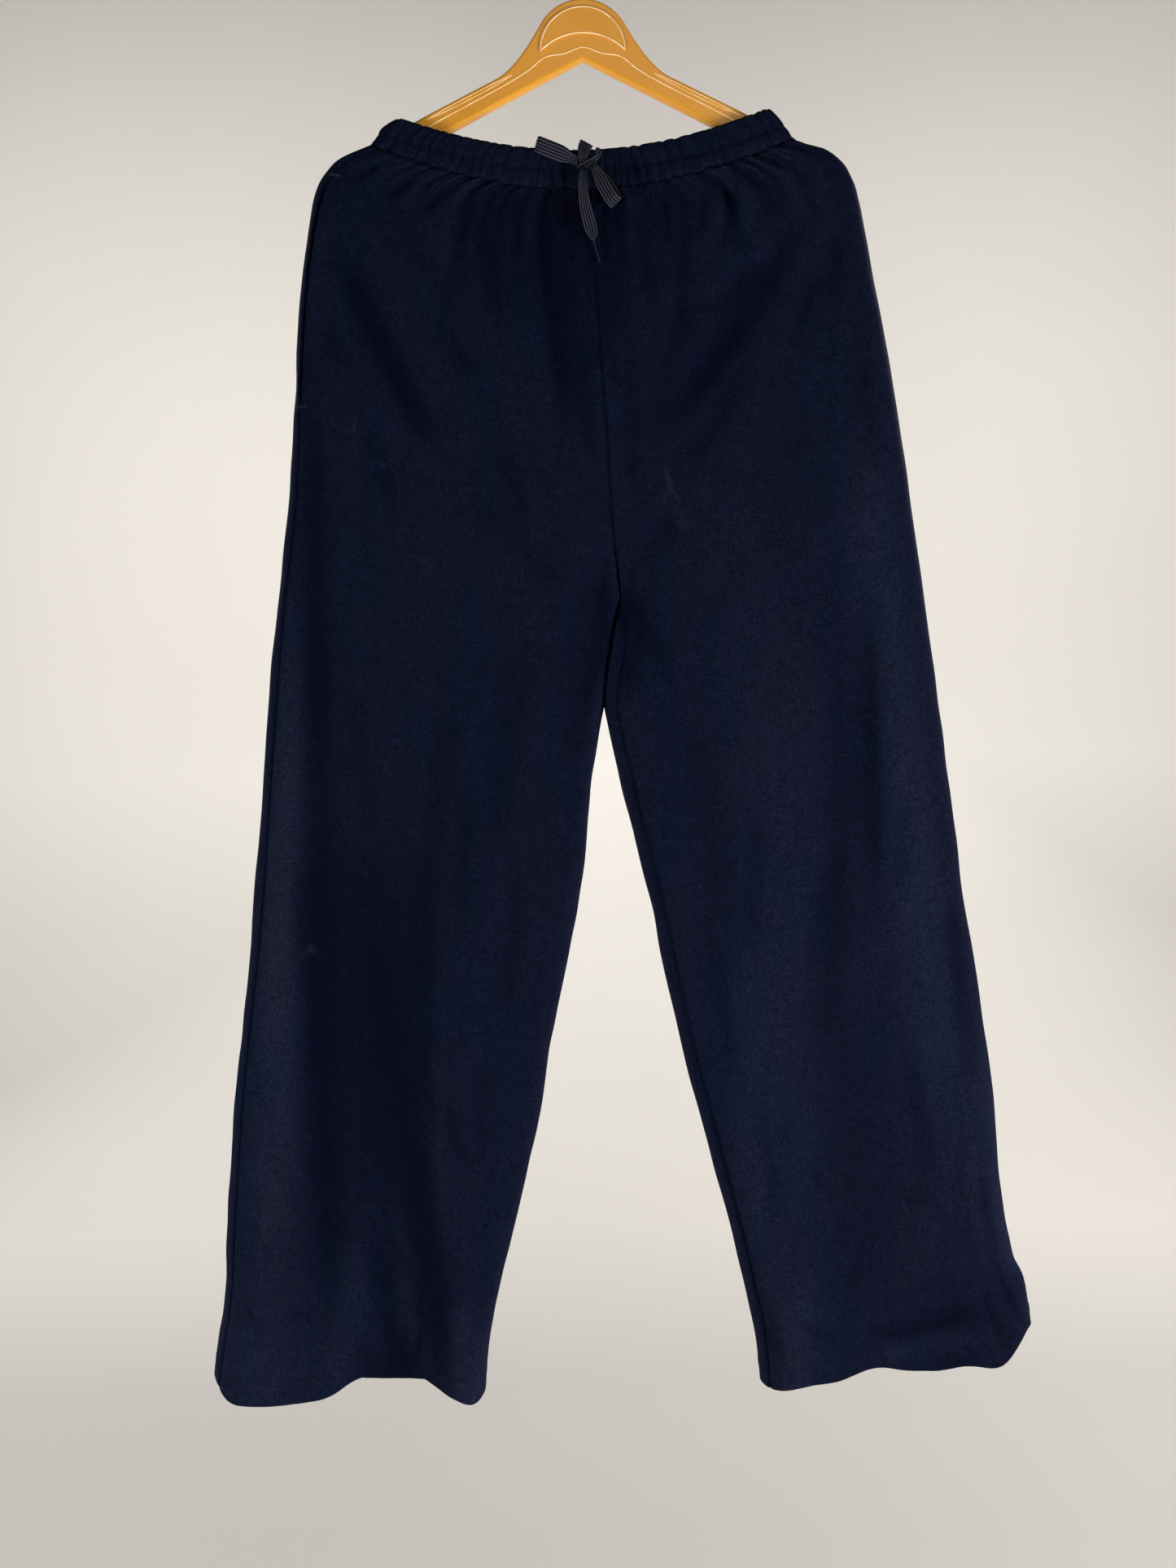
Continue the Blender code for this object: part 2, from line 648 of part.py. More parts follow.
def pocket_bag():
    """The bag behind the mouth in the right side seam: two layers joined at their inner end."""
    outer, inner = [], []
    for drop, behind, space in BAG_ROWS:
        near = CLOTH_WALL + behind
        deep = near + BAG_WALL + space
        depths = (near, near + BAG_WALL, deep, deep + BAG_WALL)
        front = [panel_row(RIGHT, FRONT, drop, COLUMNS, -depth, 0.0)[-BAG_SPAN:] for depth in depths]
        back = [panel_row(RIGHT, BACK, drop, COLUMNS, -depth, 0.0)[-3:] for depth in depths]
        end_in = [layer[0] + BAG_END_SHARE * (layer[1] - layer[0]) for layer in front]
        outer.append([back[1][0], back[2][1], back[3][2], *front[3][::-1], *front[0]])
        inner.append([back[0][0], back[1][1], back[2][2], *front[2][:0:-1], end_in[2], end_in[1],
                      *front[1][1:]])
    wall("pocket_bag", outer, inner, "jersey_inside")


def arc(centre, radius, start, end, steps):
    """Points of an arc in the X-Z plane, in millimetres, both ends included."""
    angles = [start + (end - start) * i / steps for i in range(steps + 1)]
    return [(centre[0] + radius * math.cos(a), centre[1] + radius * math.sin(a)) for a in angles]


def arm_droop(x):
    """How far the arm bends down towards its end."""
    return ARM_DROOP * float(smooth_step((x - ARM_DROOP_START) / (ARM_SPAN - ARM_DROOP_START)))


def arm_top(x):
    """Height of the arm's upper edge."""
    return -(ARM_TOP_AT_MIDDLE + ARM_TOP_SLOPE * x + arm_droop(x))


def arm_low(x):
    """Height of the arm's lower edge."""
    return -(ARM_LOW_AT_MIDDLE + ARM_LOW_SLOPE * x + arm_droop(x))


def hanger_outline():
    """The hanger's outline: one half from the head's top to the inner apex, then the same mirrored."""
    head_middle = (0.0, -(HEAD_TOP + HEAD_RADIUS))
    head = arc(head_middle, HEAD_RADIUS, math.pi / 2, math.pi / 2 - HEAD_TURN, HEAD_STEPS)
    last = Vector(head[-1])
    heading = Vector((math.cos(HEAD_TURN), -math.sin(HEAD_TURN)))
    reach = (last.y - arm_top(last.x)) / (-heading.y - ARM_TOP_SLOPE * heading.x)
    corner = last + heading * reach
    neck_end = Vector((NECK_END, arm_top(NECK_END)))
    neck = []
    for i in range(1, NECK_STEPS):
        q = i / NECK_STEPS
        neck.append(tuple((1 - q) ** 2 * last + 2 * q * (1 - q) * corner + q * q * neck_end))
    top = [(x, arm_top(x)) for x in ARM_STATIONS]
    low = [(x, arm_low(x)) for x in reversed(ARM_STATIONS[1:])]
    lean = math.atan(ARM_TOP_SLOPE)
    first = (ARM_SPAN - ARM_END_TOP_ROUND, arm_top(ARM_SPAN - ARM_END_TOP_ROUND) - ARM_END_TOP_ROUND)
    low_x = ARM_SPAN - ARM_END_LOW_ROUND - ARM_END_LOW_INSET
    second = (low_x, arm_low(low_x) + ARM_END_LOW_ROUND)
    end = arc(first, ARM_END_TOP_ROUND, math.pi / 2 - lean, 0.0, END_TOP_STEPS)
    end += arc(second, ARM_END_LOW_ROUND, ARM_END_LOW_START, -math.pi / 2 - lean, END_LOW_STEPS)
    half = head + neck + top + end + low
    return half + [(0.0, -ARM_LOW_AT_MIDDLE)] + [(-x, z) for x, z in reversed(half[1:])]


def crescent_outline():
    """The raised crescent on the head: an arc above and a shallower one below."""
    reach = CRESCENT_LOW - CRESCENT_TOP
    radius = (CRESCENT_HALF_WIDTH**2 + reach**2) / (2 * reach)
    half_turn = math.asin(min(CRESCENT_HALF_WIDTH / radius, 1.0))
    top = arc((0.0, -CRESCENT_TOP - radius), radius, math.pi / 2 - half_turn, math.pi / 2 + half_turn,
              CRESCENT_TOP_STEPS)
    sag = CRESCENT_LOW - CRESCENT_NOTCH
    flat = (CRESCENT_HALF_WIDTH**2 + sag**2) / (2 * sag)
    turn = math.asin(CRESCENT_HALF_WIDTH / flat)
    low = arc((0.0, -CRESCENT_NOTCH - flat), flat, math.pi / 2 + turn, math.pi / 2 - turn,
              CRESCENT_LOW_STEPS)
    return top + low[1:-1]


def slab(name, outline, half_depth):
    """A closed plate between y = -half_depth and +half_depth, in millimetres."""
    points = [(x * MM, y * MM, z * MM) for y in (-half_depth, half_depth) for x, z in outline]
    count = len(outline)
    faces = [tuple(range(count)), tuple(range(2 * count - 1, count - 1, -1))]
    faces += [(i, (i + 1) % count, count + (i + 1) % count, count + i) for i in range(count)]
    return mesh_from(name, points, faces)


def boolean(target, cutter, operation):
    """Joins or cuts with another object, which stays hidden as a guide."""
    step = target.modifiers.new(operation.lower(), "BOOLEAN")
    step.operation = operation
    step.object = cutter
    step.solver = "EXACT"
    cutter.hide_render = True
    cutter.display_type = "WIRE"


def hanger():
    """The hanger: head and arms in one plate with rounded edges, a raised crescent and the hook's bore."""
    body = new_object("hanger", slab("hanger", hanger_outline(), HANGER_DEPTH / 2), "orange_plastic")
    edges = body.modifiers.new("rounded_edges", "BEVEL")
    edges.width = HANGER_EDGE_ROUND * MM
    edges.segments = 2
    edges.limit_method = "ANGLE"
    edges.angle_limit = math.radians(60.0)
    raised = slab("crescent_guide", crescent_outline(), HANGER_DEPTH / 2 + CRESCENT_RAISE)
    crescent = new_object("crescent_guide", raised, "orange_plastic")
    boolean(body, crescent, "UNION")
    bore = bpy.data.meshes.new("bore_guide")
    work = bmesh.new()
    bmesh.ops.create_cone(work, cap_ends=True, segments=BORE_SEGMENTS, radius1=(WIRE_RADIUS + SEAM_GAP) * MM,
                          radius2=(WIRE_RADIUS + SEAM_GAP) * MM, depth=2 * BORE_DEPTH * MM)
    work.to_mesh(bore)
    work.free()
    hole = new_object("bore_guide", bore, "orange_plastic")
    hole.location = (0.0, 0.0, -HEAD_TOP * MM)
    boolean(body, hole, "DIFFERENCE")
    swing = bpy.data.objects.new("hanger_swing", None)
    bpy.context.scene.collection.objects.link(swing)
    swing.location = (0.0, 0.0, -HEAD_TOP * MM)
    swing.rotation_euler = (0.0, HANGER_TILT, 0.0)
    for piece in (body, crescent):
        piece.parent = swing
        piece.location = (0.0, 0.0, HEAD_TOP * MM)


def wire(name, route, radius, finish, extrude=0.0, shares=None, turn=0.0):
    """A round wire or a flat cord along a route in millimetres, turned about itself, with closed ends."""
    curve = bpy.data.curves.new(name, "CURVE")
    curve.dimensions = "3D"
    curve.bevel_depth = radius * MM
    curve.bevel_resolution = 2
    curve.extrude = extrude * MM
    curve.use_fill_caps = True
    curve.twist_mode = "MINIMUM"
    line = curve.splines.new("POLY")
    line.points.add(len(route) - 1)
    for i, place in enumerate(route):
        line.points[i].co = (*(Vector(place) * MM), 1.0)
        line.points[i].radius = shares[i] if shares else 1.0
        line.points[i].tilt = turn
    line.use_smooth = True
    curve.materials.append(material(finish))
    bpy.context.scene.collection.objects.link(bpy.data.objects.new(name, curve))


def hook():
    """The wire hook: its stem in the head's bore, a neck, and a round crook over the origin."""
    radius = HOOK_INNER_RADIUS + WIRE_RADIUS
    middle = (0.0, WIRE_RADIUS - radius)
    crook = arc(middle, radius, HOOK_TIP_ANGLE, HOOK_NECK_ANGLE, CROOK_STEPS)
    start = Vector(crook[-1])
    heading = Vector((math.sin(HOOK_NECK_ANGLE), -math.cos(HOOK_NECK_ANGLE)))
    stem_top = Vector((0.0, STEM_ABOVE_HEAD - HEAD_TOP))
    first, second = start + heading * HOOK_NECK_PULL, stem_top + Vector((0.0, STEM_PULL))
    neck = []
    for i in range(1, HOOK_NECK_STEPS + 1):
        q = i / HOOK_NECK_STEPS
        neck.append(tuple((1 - q) ** 3 * start + 3 * q * (1 - q) ** 2 * first
                          + 3 * q * q * (1 - q) * second + q**3 * stem_top))
    stem = [(0.0, BORE_FLOOR_GAP - HEAD_TOP - BORE_DEPTH)]
    wire("hanger_hook", [(x, 0.0, z) for x, z in crook + neck + stem], WIRE_RADIUS, "hook_wire")


def lace(name, stations):
    """A flat lace swept through stations: centre, the direction across it, its width and its thickness."""
    centres = [Vector(row[0]) for row in stations]
    rings = []
    for i, (_, across, width, thickness) in enumerate(stations):
        heading = (centres[min(i + 1, len(centres) - 1)] - centres[max(i - 1, 0)]).normalized()
        side = Vector(across)
        side = (side - side.dot(heading) * heading).normalized()
        face = heading.cross(side)
        half, thick = width / 2, thickness / 2
        flat = LACE_FLAT_SHARE * half
        corners = ((-half, 0), (-flat, thick), (0, thick), (flat, thick),
                   (half, 0), (flat, -thick), (0, -thick), (-flat, -thick))
        rings.append([(centres[i] + side * a + face * b) * MM for a, b in corners])
    points = [point for ring in rings for point in ring]
    count = len(rings[0])
    faces = [tuple(range(count)), tuple(range(len(points) - count, len(points)))]
    for i in range(len(rings) - 1):
        for j in range(count):
            k = (j + 1) % count
            faces.append((i * count + j, i * count + k, (i + 1) * count + k, (i + 1) * count + j))
    new_object(name, mesh_from(name, points, faces), "lace")


def bow_loop(name, root, tip, lift, across, width, spread):
    """A loop of the bow: out from the knot, round its tip and back, the two runs lying over each other."""
    root, tip, lift = Vector(root), Vector(tip), Vector(lift).normalized()
    ahead = (tip - root).normalized()
    length = (tip - root).length
    least = LACE_THICKNESS / 2 + 3 * SEAM_GAP
    straight = []
    for i in range(LOOP_RUN_STEPS + 1):
        q = i / LOOP_RUN_STEPS
        wide = width * (LOOP_ROOT_SHARE + (1.0 - LOOP_ROOT_SHARE) * float(smooth_step(2.0 * q)))
        straight.append((q * (length - spread), least + (spread - least) * q, wide))
    stations = [(root + ahead * reach + lift * up, across, wide, LACE_THICKNESS)
                for reach, up, wide in straight]
    centre = root + ahead * (length - spread)
    for i in range(1, LOOP_TIP_STEPS):
        turn = math.pi * (0.5 - i / LOOP_TIP_STEPS)
        place = centre + (ahead * math.cos(turn) + lift * math.sin(turn)) * spread
        stations.append((place, across, width, LACE_THICKNESS))
    stations += [(root + ahead * reach - lift * up, across, wide, LACE_THICKNESS)
                 for reach, up, wide in reversed(straight)]
    lace(name, stations)


def knot():
    """The knot's body: a slightly uneven ball."""
    work = bmesh.new()
    round_steps, high_steps = KNOT_SEGMENTS
    bmesh.ops.create_uvsphere(work, u_segments=round_steps, v_segments=high_steps, radius=1.0)
    for vert in work.verts:
        bulge = 1.0 + KNOT_UNEVEN * math.sin(3.0 * vert.co.x + 2.0 * vert.co.z)
        vert.co = Vector([(c + v * r * bulge) * MM for c, v, r in zip(KNOT_CENTRE, vert.co, KNOT_RADII)])
    mesh = bpy.data.meshes.new("bow_knot")
    work.to_mesh(mesh)
    work.free()
    new_object("bow_knot", mesh, "lace")


def drawstring():
    """The bow in front of the waistband: knot, crossing strand, two loops, a short end and the free tail."""
    knot()
    lace("bow_strand", [(place, STRAND_ACROSS, STRAND_WIDTH, STRAND_THICKNESS) for place in STRAND_ROUTE])
    for side, sizes in LOOPS.items():
        bow_loop(f"bow_loop_{side}", **sizes)
    lace("bow_short_end", [(place, across, width, LACE_THICKNESS) for place, across, width in SHORT_END])
    places = [row[:3] for row in TAIL_ROUTE]
    wire("bow_tail", places, TAIL_BEVEL, "lace", TAIL_EXTRUDE, [row[3] for row in TAIL_ROUTE], TAIL_TURN)


def build():
    """Makes the whole part."""
    clear_scene()
    for side in (RIGHT, LEFT):
        for face in (FRONT, BACK):
            leg_panel(side, face)
    waistband()
    pocket_bag()
    hanger()
    hook()
    drawstring()


build()
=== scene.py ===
"""Dresses the wide-legged trousers and the hanger that holds them.

The tables are in millimetres. A drop is the distance below the hook's inner crown, read at the middle of the
garment. Right and left are the wearer's, so the right leg lies at -X, and the front faces -Y.
"""
import math

import bmesh
import bpy
import numpy as np
from mathutils import Matrix, Vector


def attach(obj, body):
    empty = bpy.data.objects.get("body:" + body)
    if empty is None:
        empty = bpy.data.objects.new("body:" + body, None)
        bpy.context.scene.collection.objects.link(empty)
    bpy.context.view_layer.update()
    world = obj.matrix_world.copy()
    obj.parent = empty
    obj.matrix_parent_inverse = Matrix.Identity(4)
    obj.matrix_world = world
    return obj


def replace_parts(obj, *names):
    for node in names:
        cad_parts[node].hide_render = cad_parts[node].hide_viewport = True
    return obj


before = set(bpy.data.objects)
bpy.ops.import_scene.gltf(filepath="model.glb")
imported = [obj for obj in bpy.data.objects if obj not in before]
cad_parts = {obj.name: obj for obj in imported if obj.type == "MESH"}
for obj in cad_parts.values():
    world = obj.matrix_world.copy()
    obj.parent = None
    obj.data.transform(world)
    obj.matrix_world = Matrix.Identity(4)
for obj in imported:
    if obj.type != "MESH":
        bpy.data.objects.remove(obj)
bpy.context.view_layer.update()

MM = 0.001
RIGHT = -1
LEFT = 1
FRONT = "front"
BACK = "back"

# Camera, fitted to the photo
CAMERA_PLACE = (-0.0120, -0.92, -0.6173)
CAMERA_PITCH = math.radians(2.5)
CAMERA_ROLL = math.radians(1.6)
CAMERA_SENSOR = 24.0
CAMERA_LENS = CAMERA_SENSOR * 1447.0 / 1927.0
CAMERA_NEAREST = 0.05

# Surroundings, in metres
FLOOR_DROP = 1.75
FLOOR_HALF = 5.0
BACKDROP_Y = 3.4
BACKDROP_ROUND = 1.6
BACKDROP_TOP = 3.0
FLOOR_TINT = (1.0, 0.955, 0.90)
FLOOR_SHADE_REACH = 6.2
# Columns: distance back and up along the ground from below the garment, painted shade
FLOOR_SHADES = (
    (0.7, 0.41),
    (1.1, 0.43),
    (1.75, 0.57),
    (2.7, 0.60),
    (3.5, 0.66),
    (4.3, 0.76),
    (6.1, 0.70),
)

# Lights
# Columns: name, place, target (the object's middle where there is none), diameter, watts, colour
LIGHTS = (
    ("key", (-1.7, -0.85, -1.25), (0.0, 0.0, -0.9), 0.6, 40.0, (1.0, 0.99, 0.97)),
    ("fill", (1.8, -0.8, -1.15), (0.0, 0.0, -0.8), 0.7, 65.0, (0.98, 0.985, 1.0)),
    ("front", (0.3, -2.2, 1.0), None, 1.0, 2.0, (1.0, 0.99, 0.98)),
    ("rear_left", (2.0, 1.6, 0.5), None, 1.0, 50.0, (1.0, 0.98, 0.95)),
    ("rear_right", (-1.8, 1.9, 0.0), None, 1.4, 20.0, (0.96, 0.97, 1.0)),
    ("backdrop_right", (-1.9, 1.0, 1.0), (-2.0, 3.3, -0.6), 2.2, 41.0, (1.0, 0.99, 0.96)),
    ("backdrop_left", (1.9, 1.0, 1.0), (2.0, 3.3, -0.6), 2.2, 41.0, (1.0, 0.99, 0.96)),
)
WORLD_STRENGTH = 0.22
WORLD_COLOUR = (0.93, 0.92, 0.90)
GARMENT_MIDDLE = (0.0, 0.0, -0.6)
BACKDROP_STEPS = 16

# Cloth
CLOTH_WALL = 1.1
SEAM_GAP = 0.1
HEM_DEPTH = 19.0
HEM_EXTRA = 0.35
WAIST_TOP = 177.5
WAIST_SEAM = 206.0
GATHER_END = 262.0
CROTCH = 516.0
HEM = 1137.0
SEAM_TURN = 16.0
SEAM_TURN_RAMP = 34.0
VALLEY_HEIGHT = 74.0
SIDE_RISE_POWER = 1.9
MOST_TROUGH = 0.62
MOST_RIDGE = 0.5
FOLD_FADE = 0.3
NUDGE = 0.4
COLUMN_CROWDING = 0.25
OUTLINE_SAMPLES = 120

# Mesh density of the visible cloth
PANEL_COLUMNS = 186
HIP_STEP = 1.6
LEG_STEP = 5.4
HEM_ROWS = 14
HEM_ROWS_ABOVE = 1.5
BAND_ROWS = 22

# Waistband. BAND_OUT and BAND_IN: its wall, from the middle of the ring. It puffs between its rows of stitches,
# is pinched along them and tucks in at the waist seam.
BAND_OUT = 1.25
BAND_IN = 1.0
BAND_PUFF = 0.6
BAND_PUFF_POWER = 0.7
BAND_PINCH = 0.25
BAND_PINCH_REACH = 0.035
BAND_TUCK = 0.9
BAND_TUCK_START = 0.86
BAND_TOP_EDGE = (-0.035, 0.1)
BAND_EDGE_RIPPLE = 0.9
BAND_EDGE_REACH = 0.12
BAND_WAVE_POWER = 4
BAND_STITCH_SHARES = (0.5, 0.95)
BAND_GATHER_STARTS = (-0.1, 1.0)
BAND_PUCKER_SHARE = 0.7
BAND_BELOW_SHARE = 0.5
BAND_BELOW_REACH = 0.3
BAND_MARGIN = 3.0

# Where each quarter's random draws start
GATHER_SEEDS = {(RIGHT, FRONT): 1, (LEFT, FRONT): 2, (RIGHT, BACK): 3, (LEFT, BACK): 4}

# Gathers of a quarter of the waist, drawn at random between the least and the most.
# Columns: how many, least and most half-width, height and length, all but the first in millimetres
SHORT_GATHERS = (38, 1.1, 2.1, 0.35, 1.05, 7.0, 26.0)
LONG_GATHERS = (13, 2.4, 4.8, 0.8, 2.2, 34.0, 124.0)
BAND_GATHERS = (19, 0.9, 1.9, 0.35, 0.95, 18.0, 40.0)
BAND_PUCKERS = (36, 0.8, 1.5, 0.3, 0.85, 5.0, 12.0)
# How deep a band crease is where its painted shade is full
BAND_SHADE_HEIGHT = 1.1
BAND_SEED_STEP = 7

# How the random gathers are spread and shaped. A gather is a valley that widens over its length, with a lower
# and wider ridge under it, and near the side seam it fades.
GATHER_PLACES = (0.05, 0.95)
GATHER_HEIGHT_POWER = 1.3
GATHER_LENGTH_POWER = 1.6
GATHER_LEAN = 0.014
GATHER_SPREAD = 1.4
GATHER_RIDGE = 0.5
GATHER_RIDGE_WIDTH = 2.1
GATHER_PRESS = 1.5
GATHER_SIDE_FADE = 0.3
GATHER_SIDE_START = 0.62
GATHER_SIDE_REACH = 0.3

# The waist seam's waves, and where each quarter's waves start
# Columns: height, length, sway, length of the sway
SEAM_WAVES = (
    (0.33, 11.0, 1.8, 15.0),
    (0.22, 4.7, 2.0, 6.0),
)
SEAM_WAVE_STARTS = {(RIGHT, FRONT): -1.0, (LEFT, FRONT): 3.0, (RIGHT, BACK): 2.0, (LEFT, BACK): 6.0}
SEAM_WAVE_MARGIN = 6.0
SEAM_WAVE_REACH = 5.0
WAIST_ROLL = 0.25
WAIST_ROLL_REACH = 2.4

# Sections of the garment. rise_*: how much higher the side edge lies than the middle. out_*: from the middle
# line to the side edge. depth: half of the front-to-back.
SECTION_COLUMNS = ("drop", "rise_right", "rise_left", "out_right", "out_left", "depth")
SECTIONS = (
    (177.5, 29.0, 28.5, 144.5, 141.0, 8.5),
    (187.0, 31.5, 28.5, 155.0, 149.0, 8.8),
    (196.5, 35.0, 31.5, 158.5, 153.5, 9.1),
    (203.0, 38.2, 34.0, 162.0, 156.8, 9.4),
    (206.0, 39.2, 35.7, 166.0, 160.5, 9.5),
    (210.5, 36.0, 33.0, 186.5, 180.0, 10.0),
    (216.5, 30.5, 29.0, 199.5, 194.0, 11.0),
    (225.0, 25.0, 22.5, 207.5, 203.0, 12.5),
    (236.0, 16.5, 17.5, 212.5, 207.5, 14.0),
    (252.0, 8.0, 9.0, 217.0, 211.5, 15.0),
    (276.0, 2.0, 3.0, 221.5, 216.5, 15.5),
    (306.0, 0.0, 0.0, 225.3, 222.5, 15.5),
    (360.0, 0.0, 0.0, 230.0, 231.0, 15.5),
    (440.0, 0.0, 0.0, 237.5, 242.5, 14.5),
    (516.0, 0.0, 0.0, 250.0, 251.5, 12.5),
    (620.0, 0.0, 0.0, 262.5, 265.0, 12.0),
    (760.0, 0.0, 0.0, 278.0, 280.5, 12.0),
    (900.0, 0.0, 0.0, 297.5, 300.0, 12.5),
    (1000.0, 0.0, 0.0, 307.2, 307.2, 13.5),
    (1060.0, 0.0, 0.0, 311.5, 316.0, 15.0),
    (1100.0, 0.0, 0.0, 318.0, 324.0, 16.0),
    (1137.0, 0.0, 0.0, 322.5, 328.0, 17.0),
)
CENTRE_COLUMNS = ("drop", "front", "back")
CENTRES = (
    (177.5, 1.0, -3.0),
    (254.0, 3.0, -6.0),
    (382.0, 9.0, -8.0),
    (465.0, 12.5, 2.0),
    (497.0, 15.5, 12.5),
    (516.0, 17.2, 17.2),
)
INNER_COLUMNS = ("drop", "in_right", "in_left")
INNERS = (
    (516.0, -17.0, 17.4),
    (550.0, -9.9, 10.3),
    (590.0, -2.6, 3.0),
    (650.0, 7.4, 12.2),
    (750.0, 22.3, 34.0),
    (850.0, 43.8, 52.5),
    (950.0, 64.8, 76.0),
    (1050.0, 91.8, 99.5),
    (1100.0, 103.0, 109.0),
    (1137.0, 108.0, 112.5),
)

# Large folds, which the solids have too. A depth above 0 is a trough, below 0 a ridge.
# Columns: x0, drop0, x1, drop1, bow, width, depth
FRONT_FOLDS = (
    (-190, 228, -114, 412, 4, 10, 4.5),
    (-40, 200, -22, 392, 2, 6, 4.0),
    (165, 226, 50, 392, -3, 10, 4.5),
    (134, 262, 84, 304, 0, 6, 2.4),
    (177, 262, 146, 330, 0, 7, 1.8),
    (-150, 206, -104, 300, 0, 6, 2.0),
    (-92, 204, -66, 318, 0, 6, 2.6),
    (34, 204, 44, 300, 0, 6, 2.6),
    (74, 204, 62, 330, 0, 6, 2.4),
    (112, 204, 96, 262, 0, 5, 2.0),
    (-6, 470, -26, 650, 0, 12, 2.4),
    (-55, 520, -94, 720, 0, 13, 2.4),
    (-211, 350, -218, 1090, 6, 13, 3.6),
    (-170, 640, -186, 1060, 0, 34, 3.6),
    (-139, 690, -150, 950, 0, 14, 2.6),
    (-131, 740, -138, 1030, 0, 5, -2.2),
    (-204, 985, -226, 1160, 0, 15, -3.0),
    (-188, 985, -158, 1165, 5, 10, 5.5),
    (-180, 1070, -180, 1230, 0, 25, 6.5),
    (-126, 1040, -118, 1220, 0, 13, -5.5),
    (-278, 1020, -278, 1230, 0, 26, -3.5),
    (207, 500, 196, 730, 2, 15, 2.8),
    (171, 690, 160, 880, 0, 13, 2.4),
    (60, 560, 92, 800, 0, 14, 2.0),
    (282, 840, 312, 1070, 9, 10, -2.6),
    (186, 1102, 290, 1080, 0, 7, 2.4),
    (106, 1056, 130, 1122, 0, 6, 2.0),
    (134, 1010, 136, 1230, 0, 20, -4.0),
    (246, 1030, 250, 1230, 0, 44, 4.0),
)
BACK_FOLDS = (
    (152, 232, 74, 404, 4, 10, 4.2),
    (-164, 230, -62, 396, -4, 10, 4.2),
    (28, 206, 20, 388, 0, 7, 3.4),
    (-34, 206, -58, 330, 0, 6, 2.6),
    (88, 206, 104, 300, 0, 6, 2.4),
    (-104, 206, -122, 306, 0, 6, 2.4),
    (50, 470, 84, 660, 0, 13, 2.6),
    (-26, 480, -60, 700, 0, 13, 2.6),
    (206, 410, 214, 1040, -5, 14, 3.4),
    (-202, 470, -216, 1090, 4, 14, 3.2),
    (-146, 720, -166, 1230, 0, 28, 3.6),
    (188, 760, 208, 1230, 0, 26, 4.4),
    (252, 860, 284, 1230, 0, 14, -2.6),
    (-256, 900, -284, 1230, 0, 14, -2.6),
    (132, 900, 146, 1230, 0, 13, -3.0),
    (-118, 980, -124, 1230, 0, 12, -3.0),
)

FOLDS = {FRONT: FRONT_FOLDS, BACK: BACK_FOLDS}

# Rises of the hem's edge
# Columns: x, width, rise, face
HEM_RISES = (
    (-200, 24, 19.0, FRONT),
    (-180, 12, 4.5, FRONT),
    (-160, 20, 18.0, FRONT),
    (-114, 9, -4.5, FRONT),
    (-324, 13, 20.0, None),
    (150, 18, 3.0, FRONT),
    (204, 30, 15.0, FRONT),
    (238, 16, 4.0, FRONT),
    (276, 30, 14.0, FRONT),
    (326, 19, 42.0, None),
    (-246, 30, 5.0, BACK),
    (-150, 22, -2.0, BACK),
    (170, 26, 5.0, BACK),
    (262, 24, 4.0, BACK),
)
HEM_RISE_START = 900.0

